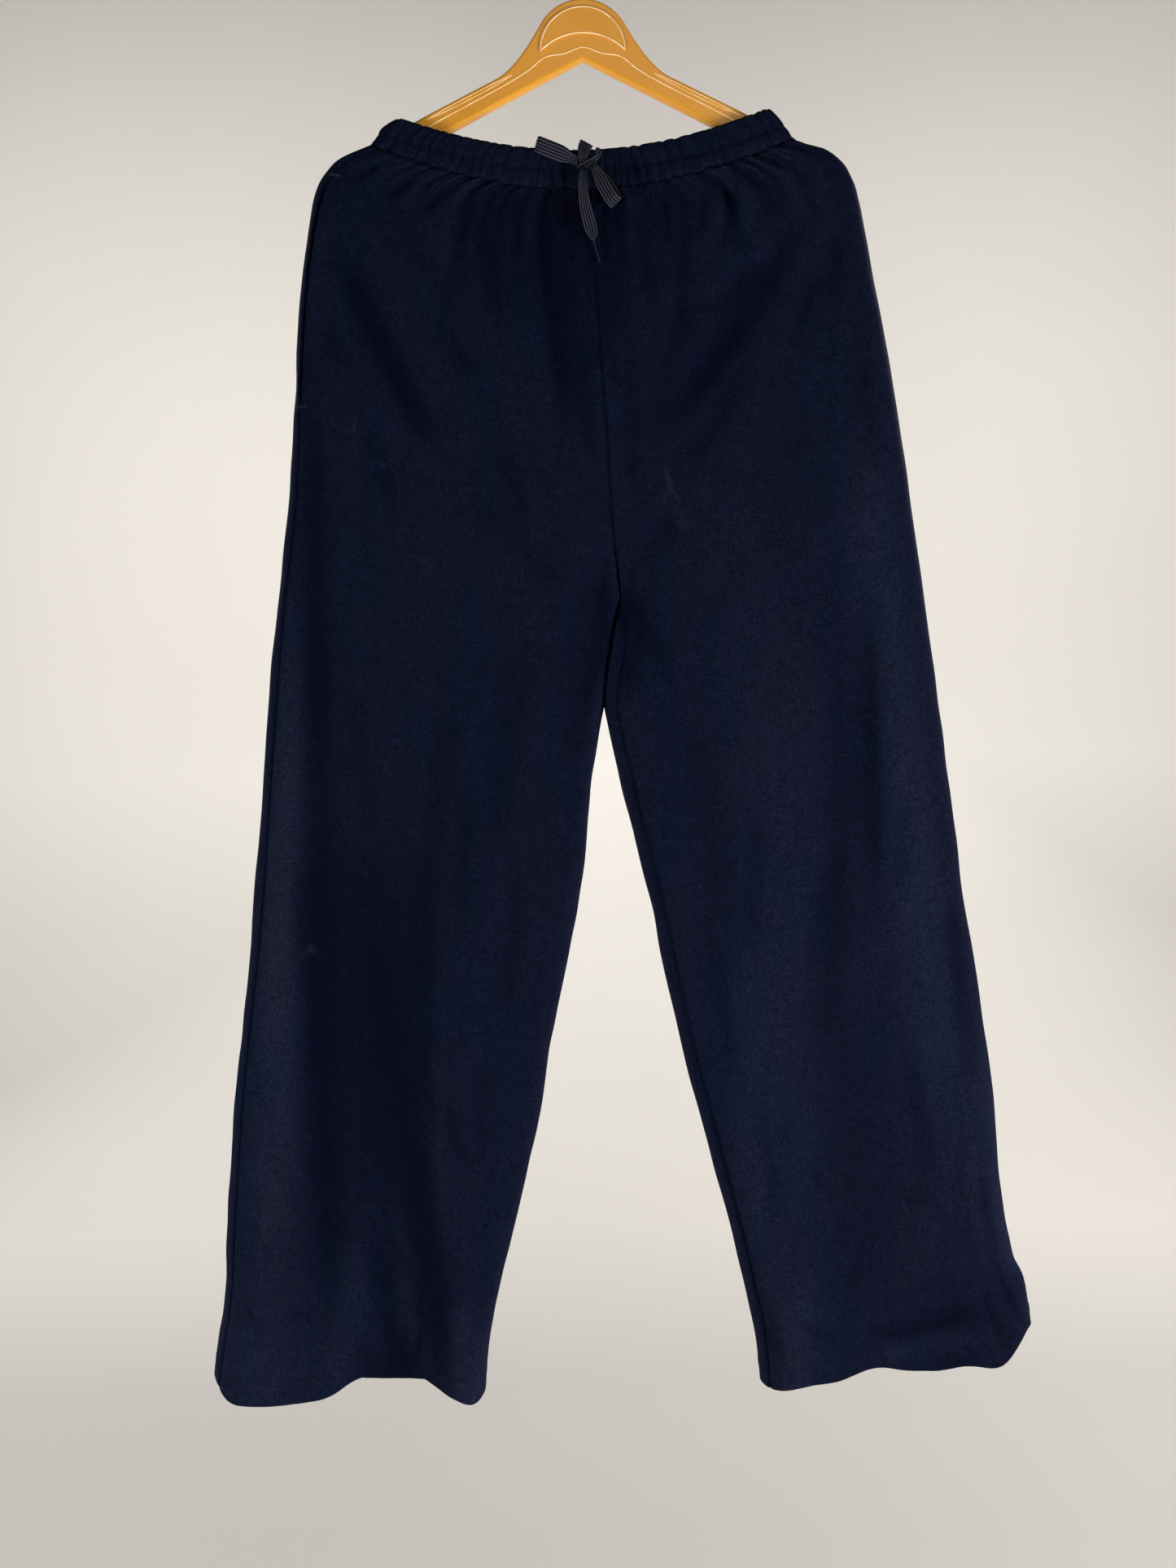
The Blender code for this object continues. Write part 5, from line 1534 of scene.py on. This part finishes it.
def band_form(spans, height_share, side, face):
    """The band's narrow creases over its elastic, and short puckers along its rows of stitches and its seam."""
    seed = GATHER_SEEDS[(side, face)]
    chance = np.random.default_rng(seed + BAND_SEED_STEP)
    total = np.zeros_like(spans)
    tall_band = WAIST_SEAM - WAIST_TOP
    for place, width, tall, length, lean in random_gathers(BAND_GATHERS, chance):
        start = chance.uniform(*BAND_GATHER_STARTS)
        along = bell((height_share - start) * tall_band, length)
        aside = spans - (place + lean * (height_share - 0.5)) * spans[-1]
        total = total - tall * along * bell(aside, width)
    for at in (*BAND_STITCH_SHARES, 1.0):
        for place, width, tall, length, _ in random_gathers(BAND_PUCKERS, chance):
            along = bell((height_share - at) * tall_band, BAND_PUCKER_SHARE * length)
            total = total - BAND_PUCKER_SHARE * tall * along * bell(spans - place * spans[-1], width)
    below = gather_form(spans[None, :], np.array([WAIST_SEAM]), seed)[0]
    total = total + BAND_BELOW_SHARE * below * bell(1.0 - height_share, BAND_BELOW_REACH)
    return total * clear_of_edges(spans, BAND_MARGIN)


def band_profile():
    """Rows of the band's section: share of the way down, and how far out or in from the ring."""
    outer = []
    for share in np.linspace(0.0, 1.0, BAND_ROWS + 1):
        channel = abs(math.sin(2.0 * math.pi * min(share / BAND_STITCH_SHARES[-1], 1.0)))
        puffed = BAND_OUT + BAND_PUFF * channel**BAND_PUFF_POWER
        tucked = BAND_TUCK * float(smooth_step((share - BAND_TUCK_START) / (1.0 - BAND_TUCK_START)))
        pinched = sum(BAND_PINCH * bell(share - at, BAND_PINCH_REACH) for at in BAND_STITCH_SHARES)
        outer.append((share, puffed - pinched - tucked))
    inner = [(share, -BAND_IN) for share in np.linspace(1.0, 0.0, BAND_ROWS // 2 + 1)]
    return outer + inner + [BAND_TOP_EDGE]


def band_ring(share, offset):
    """One ring of the waistband, the directions out of it, and how deep in a crease each place lies."""
    drop = WAIST_TOP + share * (WAIST_SEAM - SEAM_GAP - WAIST_TOP)
    quarters = ((LEFT, FRONT, False), (LEFT, BACK, True), (RIGHT, BACK, False), (RIGHT, FRONT, True))
    parts = []
    for side, face, reverse in quarters:
        at = max(drop, WAIST_TOP)
        places, out, spans = panel_grid(side, face, np.array([at, at + NUDGE]), PANEL_COLUMNS)
        form = band_form(spans[0], share, side, face)
        row = places[0] + out[0] * (offset + form)[:, None]
        edge = BAND_EDGE_RIPPLE * bell(share, BAND_EDGE_REACH)
        row[:, 2] += edge * band_form(spans[0], 0.0, side, face) + (at - drop)
        row[:, 2] += max(share, 0.0) ** BAND_WAVE_POWER * seam_wave(side, face, spans[0])
        part = np.column_stack([row, out[0], -form])
        parts.append(part[::-1][:-1] if reverse else part[:-1])
    ring = np.concatenate(parts)
    return ring[:, :3], ring[:, 3:6], ring[:, 6]


def waistband(cloth, thread):
    """The gathered band with its elastic, and two rows of stitches round it."""
    profile = band_profile()
    rings, outs, troughs = [], [], []
    for share, offset in profile:
        ring, out, trough = band_ring(share, offset)
        rings.append(ring)
        outs.append(out)
        troughs.append(np.tanh(trough / BAND_SHADE_HEIGHT))
    rows, columns = len(rings), len(rings[0])
    points = np.concatenate(rings) * MM
    mesh = mesh_of("waistband_cloth", points, grid_faces(rows, columns, 0, True, True))
    down = [share * (WAIST_SEAM - WAIST_TOP) for share, _ in profile]
    set_lengths(mesh, np.array([(distance, drop) for drop in down for distance in path_lengths(rings[0])]))
    piece = link_piece("waistband_cloth", mesh, cloth)
    # Painted shade in the band's creases
    add_attribute(mesh, "painted_fold_shade", np.concatenate(troughs))
    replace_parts(piece, "waistband")
    lines = []
    for share in BAND_STITCH_SHARES:
        i = int(round(share * BAND_ROWS))
        closed = np.vstack([rings[i], rings[i][:1]])
        lines.append((closed, np.vstack([outs[i], outs[i][:1]])))
    joined_stitches("waistband_stitches", lines, thread)
    return piece


def pocket_bag(cloth):
    """The bag behind the pocket's mouth: two layers of cloth joined at their inner end."""
    drops = np.arange(BAG_ROWS[0][0], BAG_ROWS[-1][0], BAG_STEP)
    front, front_out, _ = panel_grid(RIGHT, FRONT, drops, BAG_PANEL_COLUMNS)
    back, back_out, _ = panel_grid(RIGHT, BACK, drops, BAG_PANEL_COLUMNS)
    outer, inner = [], []
    for i, drop in enumerate(drops):
        near = BAG_NEAR + read_table(BAG_ROWS, BAG_COLUMNS, "behind", drop)
        deep = near + BAG_WALL + read_table(BAG_ROWS, BAG_COLUMNS, "space", drop)
        depths = (near, near + BAG_WALL, deep, deep + BAG_WALL)
        fronts = [(front[i] - front_out[i] * depth)[-BAG_SPAN:] for depth in depths]
        backs = [(back[i] - back_out[i] * depth)[-BAG_BACK_SPAN:] for depth in depths]
        end_in = [layer[0] + 0.5 * (layer[1] - layer[0]) for layer in fronts]
        outer.append(np.array([backs[1][0], backs[2][2], backs[3][4], *fronts[3][::-1], *fronts[0]]))
        inner.append(np.array([backs[0][0], backs[1][2], backs[2][4], *fronts[2][:0:-1], end_in[2],
                               end_in[1], *fronts[1][1:]]))
    outer, inner = np.array(outer), np.array(inner)
    spans = np.array([path_lengths(row) for row in outer])
    piece = shell("pocket_bag_cloth", outer, inner, spans, drops, cloth)
    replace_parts(piece, "pocket_bag")
    return piece


# Hanger and hook
def arc(centre, radius, start, end, steps):
    """Points of an arc in the X-Z plane, in millimetres, both ends included."""
    angles = [start + (end - start) * i / steps for i in range(steps + 1)]
    return [(centre[0] + radius * math.cos(a), centre[1] + radius * math.sin(a)) for a in angles]


def arm_droop(x):
    """How far the arm bends down towards its end."""
    return ARM_DROOP * float(smooth_step((x - ARM_DROOP_START) / (ARM_SPAN - ARM_DROOP_START)))


def arm_top(x):
    """Height of the arm's upper edge."""
    return -(ARM_TOP_AT_MIDDLE + ARM_TOP_SLOPE * x + arm_droop(x))


def arm_low(x):
    """Height of the arm's lower edge."""
    return -(ARM_LOW_AT_MIDDLE + ARM_LOW_SLOPE * x + arm_droop(x))


def hanger_outline():
    """The hanger's outline: one half from the head's top to the inner apex, then the same mirrored."""
    head_middle = (0.0, -(HEAD_TOP + HEAD_RADIUS))
    head = arc(head_middle, HEAD_RADIUS, math.pi / 2, math.pi / 2 - HEAD_TURN, HEAD_STEPS)
    last = Vector(head[-1])
    heading = Vector((math.cos(HEAD_TURN), -math.sin(HEAD_TURN)))
    reach = (last.y - arm_top(last.x)) / (-heading.y - ARM_TOP_SLOPE * heading.x)
    corner = last + heading * reach
    neck_end = Vector((NECK_END, arm_top(NECK_END)))
    neck = []
    for i in range(1, NECK_STEPS):
        q = i / NECK_STEPS
        neck.append(tuple((1 - q) ** 2 * last + 2 * q * (1 - q) * corner + q * q * neck_end))
    stations = np.linspace(NECK_END, ARM_SPAN - ARM_END_TOP_ROUND - ARM_END_MARGIN, ARM_STATIONS)
    top = [(float(x), arm_top(float(x))) for x in stations]
    low = [(float(x), arm_low(float(x))) for x in stations[:0:-1]]
    lean = math.atan(ARM_TOP_SLOPE)
    first = (ARM_SPAN - ARM_END_TOP_ROUND, arm_top(ARM_SPAN - ARM_END_TOP_ROUND) - ARM_END_TOP_ROUND)
    low_x = ARM_SPAN - ARM_END_LOW_ROUND - ARM_END_LOW_INSET
    second = (low_x, arm_low(low_x) + ARM_END_LOW_ROUND)
    end = arc(first, ARM_END_TOP_ROUND, math.pi / 2 - lean, 0.0, ARM_END_TOP_STEPS)
    end += arc(second, ARM_END_LOW_ROUND, ARM_END_LOW_START, -math.pi / 2 - lean, ARM_END_LOW_STEPS)
    half = head + neck + top + end + low
    return half + [(0.0, -ARM_LOW_AT_MIDDLE)] + [(-x, z) for x, z in reversed(half[1:])]


def crescent_arc(drop, steps):
    """An arc from the crescent's right tip over a middle at some drop to its left tip."""
    rise = CRESCENT_LOW - drop
    radius = (CRESCENT_HALF_WIDTH**2 + rise**2) / (2 * rise)
    half_turn = math.asin(min(CRESCENT_HALF_WIDTH / radius, 1.0))
    return arc((0.0, -drop - radius), radius, math.pi / 2 - half_turn, math.pi / 2 + half_turn, steps)


def crescent_outline():
    """The raised crescent on the head: an arc above and a shallower one below."""
    top = crescent_arc(CRESCENT_TOP, CRESCENT_TOP_STEPS)
    low = crescent_arc(CRESCENT_NOTCH, CRESCENT_LOW_STEPS)[::-1]
    return top + low[1:-1]


def hanger_tilt():
    """The turn about the head's top with which the hanger hangs."""
    pivot = Matrix.Translation((0.0, 0.0, -HEAD_TOP * MM))
    return pivot @ Matrix.Rotation(HANGER_TILT, 4, "Y") @ pivot.inverted()


def plate(name, outline, half_depth, edge, finish):
    """A plate between y = -half_depth and +half_depth with rounded rims, tilted as the hanger hangs."""
    points = [(x * MM, y * MM, z * MM) for y in (-half_depth, half_depth) for x, z in outline]
    count = len(outline)
    faces = [tuple(range(count)), tuple(range(2 * count - 1, count - 1, -1))]
    faces += [(i, (i + 1) % count, count + (i + 1) % count, count + i) for i in range(count)]
    mesh = mesh_of(name, np.array(points), faces)
    mesh.transform(hanger_tilt())
    piece = link_piece(name, mesh, finish)
    rounded = piece.modifiers.new("rounded_edges", "BEVEL")
    rounded.width = edge * MM
    rounded.segments = HANGER_EDGE_STEPS
    rounded.limit_method = "ANGLE"
    rounded.angle_limit = HANGER_EDGE_ANGLE
    rounded.harden_normals = True
    return piece


def rod(name, route, radius, rounding, finish):
    """A round rod with closed ends along a route in metres, as a piece that rides on the part's one body."""
    curve = bpy.data.curves.new(name, "CURVE")
    curve.dimensions = "3D"
    curve.bevel_depth = radius * MM
    curve.bevel_resolution = rounding
    curve.use_fill_caps = True
    line = curve.splines.new("POLY")
    line.points.add(len(route) - 1)
    for point, place in zip(line.points, route):
        point.co = (*place, 1.0)
    line.use_smooth = True
    curve.materials.append(finish)
    made = link_object(name, curve)
    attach(made, "root")
    return made


def moulded_line(name, route, radius, finish):
    """A slim line along a route on the hanger's face."""
    tilt = hanger_tilt()
    made = rod(name, [tilt @ (Vector(place) * MM) for place in route], radius, LINE_ROUNDING, finish)


def smooth_route(points, step):
    """A smooth curve through points, read at even steps."""
    points = [np.array(p, float) for p in points]
    ends = [2 * points[0] - points[1], *points, 2 * points[-1] - points[-2]]
    found = []
    for i in range(1, len(ends) - 2):
        before, start, stop, after = ends[i - 1 : i + 3]
        count = max(int(np.linalg.norm((stop - start)[:3]) / step), 1)
        for k in range(count):
            q = k / count
            found.append(0.5 * (2 * start + (stop - before) * q
                                + (2 * before - 5 * start + 4 * stop - after) * q**2
                                + (3 * start - before - 3 * stop + after) * q**3))
    found.append(points[-1])
    return found


def hanger(finish, pale):
    """The hanger's plate, the crescent on both faces and its slim moulded lines, coloured paler as painted
    highlights.
    """
    body = plate("hanger_body", hanger_outline(), HANGER_DEPTH / 2, HANGER_EDGE_ROUND, finish)
    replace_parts(body, "hanger")
    rim = crescent_outline()
    raised = plate("hanger_crescent", rim, HANGER_DEPTH / 2 + CRESCENT_RAISE, CRESCENT_EDGE_ROUND, finish)
    route = [(-x, z) for x, z in reversed(HEAD_LINE[1:])] + list(HEAD_LINE)
    for face, toward in ((FRONT, -1), (BACK, 1)):
        y = toward * (HANGER_DEPTH / 2 - HEAD_LINE_SINK)
        places = smooth_route([(x, y, z) for x, z in route], LINE_STEP)
        moulded_line(f"hanger_{face}_line", places, LINE_RADIUS, pale)
        y = toward * (HANGER_DEPTH / 2 + CRESCENT_RAISE - CRESCENT_LINE_SINK)
        places = [(x, y, z) for x, z in rim + rim[:1]]
        moulded_line(f"hanger_{face}_crescent_line", places, LINE_RADIUS, pale)
        y = toward * (HANGER_DEPTH / 2 - ARM_LINE_SINK)
        for side in (RIGHT, LEFT):
            for bow, edge in ((ARM_PANEL_BOW, "upper"), (-ARM_PANEL_BOW, "lower")):
                places = smooth_route([(side * x, y, z + bow * lift) for x, z, lift in ARM_PANEL], LINE_STEP)
                moulded_line(f"hanger_{face}_{side_name(side)}_{edge}_line", places, ARM_LINE_RADIUS, pale)


def hook(finish):
    """The wire hook."""
    radius = HOOK_INNER_RADIUS + WIRE_RADIUS
    middle = (0.0, WIRE_RADIUS - radius)
    crook = arc(middle, radius, HOOK_TIP_ANGLE, HOOK_NECK_ANGLE, CROOK_STEPS)
    start = Vector(crook[-1])
    heading = Vector((math.sin(HOOK_NECK_ANGLE), -math.cos(HOOK_NECK_ANGLE)))
    stem_top = Vector((0.0, STEM_ABOVE_HEAD - HEAD_TOP))
    first, second = start + heading * HOOK_NECK_PULL, stem_top + Vector((0.0, STEM_PULL))
    neck = []
    for i in range(1, HOOK_NECK_STEPS + 1):
        q = i / HOOK_NECK_STEPS
        neck.append(tuple((1 - q) ** 3 * start + 3 * q * (1 - q) ** 2 * first
                          + 3 * q * q * (1 - q) * second + q**3 * stem_top))
    route = crook + neck + [(0.0, -HEAD_TOP - STEM_IN_HEAD)]
    made = rod("hook_wire", [(x * MM, 0.0, z * MM) for x, z in route], WIRE_RADIUS, WIRE_ROUNDING, finish)
    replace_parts(made, "hanger_hook")


# Drawstring
def stitch_rise(sway, turn):
    """How far a braid's stitch stands up at one point of its turn, at most 1."""
    return 1.0 - sway + sway * math.sin(turn)


def lace_section(width, thickness, travelled, ribs):
    """Points round a flat braid, with ribs on both faces whose stitches alternate."""
    ring, rises = [], []
    count = LACE_SIDES * ribs + 2
    for k in range(count):
        turn = 2.0 * math.pi * k / count
        across = math.copysign(abs(math.cos(turn)) ** LACE_FLAT_ACROSS, math.cos(turn))
        through = math.copysign(abs(math.sin(turn)) ** LACE_FLAT_THROUGH, math.sin(turn))
        place = (across + 1.0) / 2.0 * ribs
        rib = abs(math.sin(math.pi * place)) ** LACE_RIB_POWER
        slant = travelled / LACE_STITCH + LACE_STITCH_SLANT * math.cos(2.0 * math.pi * place)
        rise = rib * stitch_rise(LACE_STITCH_RISE, 2.0 * math.pi * slant)
        lifted = thickness / 2 + LACE_RIB_HEIGHT * (rise - LACE_RIB_MIDDLE)
        ring.append((across * width / 2, through * lifted))
        rises.append(rise)
    return ring, rises


def braid(name, stations, finish, ribs=LACE_RIBS):
    """A flat braided lace swept along stations of centre, direction across, width and thickness."""
    rows = [np.array([*place, *across, width, thick]) for place, across, width, thick in stations]
    fine = smooth_route(rows, LACE_STEP)
    points, rises = [], []
    travelled = 0.0
    for i, row in enumerate(fine):
        if i:
            travelled += float(np.linalg.norm(row[:3] - fine[i - 1][:3]))
        centre, across = Vector(row[:3]), Vector(row[3:6])
        heading = Vector(fine[min(i + 1, len(fine) - 1)][:3] - fine[max(i - 1, 0)][:3]).normalized()
        side = (across - across.dot(heading) * heading).normalized()
        face = heading.cross(side)
        ring, rise = lace_section(float(row[6]), float(row[7]), travelled, ribs)
        points += [tuple(centre + side * a + face * b) for a, b in ring]
        rises += rise
    count = len(points) // len(fine)
    faces = [tuple(face) for face in grid_faces(len(fine), count, 0, closed_columns=True)]
    faces += [tuple(range(count)), tuple(range(len(points) - count, len(points)))]
    piece = link_piece(name, mesh_of(name, np.array(points) * MM, faces), finish)
    add_attribute(piece.data, "rise", rises)
    return piece


def loop_stations(root, tip, lift, across, width, spread):
    """Stations of a bow's loop: out from the knot, round its tip and back."""
    root, tip, lift = Vector(root), Vector(tip), Vector(lift).normalized()
    ahead = (tip - root).normalized()
    length = (tip - root).length
    least = LACE_THICKNESS / 2 + LOOP_CLEARANCE
    straight = []
    for i in range(LOOP_SIDE_STEPS + 1):
        q = i / LOOP_SIDE_STEPS
        belly = 1.0 + LOOP_BELLY * math.sin(math.pi * q)
        wide = width * (LOOP_ROOT_WIDTH + (1.0 - LOOP_ROOT_WIDTH) * float(smooth_step(2.0 * q)))
        straight.append((q * (length - spread), (least + (spread - least) * q) * belly, wide))
    stations = [(root + ahead * reach + lift * up, across, wide, LACE_THICKNESS)
                for reach, up, wide in straight]
    centre = root + ahead * (length - spread)
    for i in range(1, LOOP_TIP_STEPS):
        turn = math.pi * (0.5 - i / LOOP_TIP_STEPS)
        place = centre + (ahead * math.cos(turn) + lift * math.sin(turn)) * spread
        stations.append((place, across, width, LACE_THICKNESS))
    stations += [(root + ahead * reach - lift * up, across, wide, LACE_THICKNESS)
                 for reach, up, wide in reversed(straight)]
    return stations


def knot(finish):
    """The knot's body, wound with ribs of the lace."""
    work = bmesh.new()
    bmesh.ops.create_uvsphere(work, u_segments=KNOT_FACES[0], v_segments=KNOT_FACES[1], radius=1.0)
    rises = []
    for vert in work.verts:
        x, _, z = vert.co
        rib = abs(math.sin(math.pi * KNOT_RIBS * (x * KNOT_WIND[0] + z * KNOT_WIND[1]))) ** KNOT_RIB_POWER
        turn = KNOT_STITCHES * (x * KNOT_WIND[1] - z * KNOT_WIND[0]) + KNOT_STITCH_SLANT * rib
        rise = rib * stitch_rise(KNOT_STITCH_RISE, turn)
        bulge = math.sin(KNOT_BULGES[0] * x + KNOT_BULGES[1] * z) + rise - KNOT_RIB_MIDDLE
        size = 1.0 + KNOT_RELIEF * bulge
        vert.co = Vector([(c + v * r * size) * MM for c, v, r in zip(KNOT_CENTRE, vert.co, KNOT_RADII)])
        # Painted shade: a lower rise darkens the knot's colour
        rises.append(KNOT_SHADE * rise)
    mesh = bpy.data.meshes.new("knot_lace")
    work.to_mesh(mesh)
    work.free()
    piece = link_piece("knot_lace", mesh, finish)
    add_attribute(piece.data, "rise", rises)
    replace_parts(piece, "bow_knot")


def tail(finish):
    """The free tail of the lace, swept along its route."""
    stations = []
    for *place, share in TAIL_ROUTE:
        width = TAIL_WIDTH * share
        stations.append((place, TAIL_ACROSS, width, min(LACE_THICKNESS, TAIL_TIP_THICKNESS * width)))
    piece = braid("tail_lace", stations, finish)
    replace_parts(piece, "bow_tail")


def drawstring(finish):
    """The bow: knot, crossing strand, two loops, a short end and the free tail."""
    tail(finish)
    knot(finish)
    strand = [(place, STRAND_ACROSS, STRAND_WIDTH, STRAND_THICKNESS) for place in STRAND_ROUTE]
    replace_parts(braid("strand_lace", strand, finish, STRAND_RIBS), "bow_strand")
    for side, sizes in LOOPS.items():
        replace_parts(braid(f"loop_{side}_lace", loop_stations(**sizes), finish), f"bow_loop_{side}")
    short_end = [(place, across, width, LACE_THICKNESS) for place, across, width in SHORT_END]
    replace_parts(braid("short_end_lace", short_end, finish), "bow_short_end")
    curl = [(place, across, width, LACE_THICKNESS) for place, across, width in CURL]
    braid("curl_lace", curl, finish, CURL_RIBS)


def dress():
    """Makes every visible piece."""
    make_camera()
    drawstring(lace_material("braided_lace"))
    make_surroundings()
    cloth = jersey_material("navy_jersey")
    thread = plain_material("sewing_thread")
    panels = {}
    for (side, face), seed in GATHER_SEEDS.items():
        panels[(side, face)] = leg_panel(side, face, cloth, seed)
    hem_line = HEM - HEM_DEPTH + HEM_STITCH_INSET
    joined_stitches("hem_stitches", [row_at(*form, hem_line) for _, *form in panels.values()], thread)
    bartacks(panels, plain_material("bartack_thread"))
    band = waistband(cloth, thread)
    bag = pocket_bag(cloth)
    hanger(plain_material("orange_plastic_gloss"), plain_material("orange_plastic_painted_highlight"))
    hook(plain_material("plated_wire"))


dress()
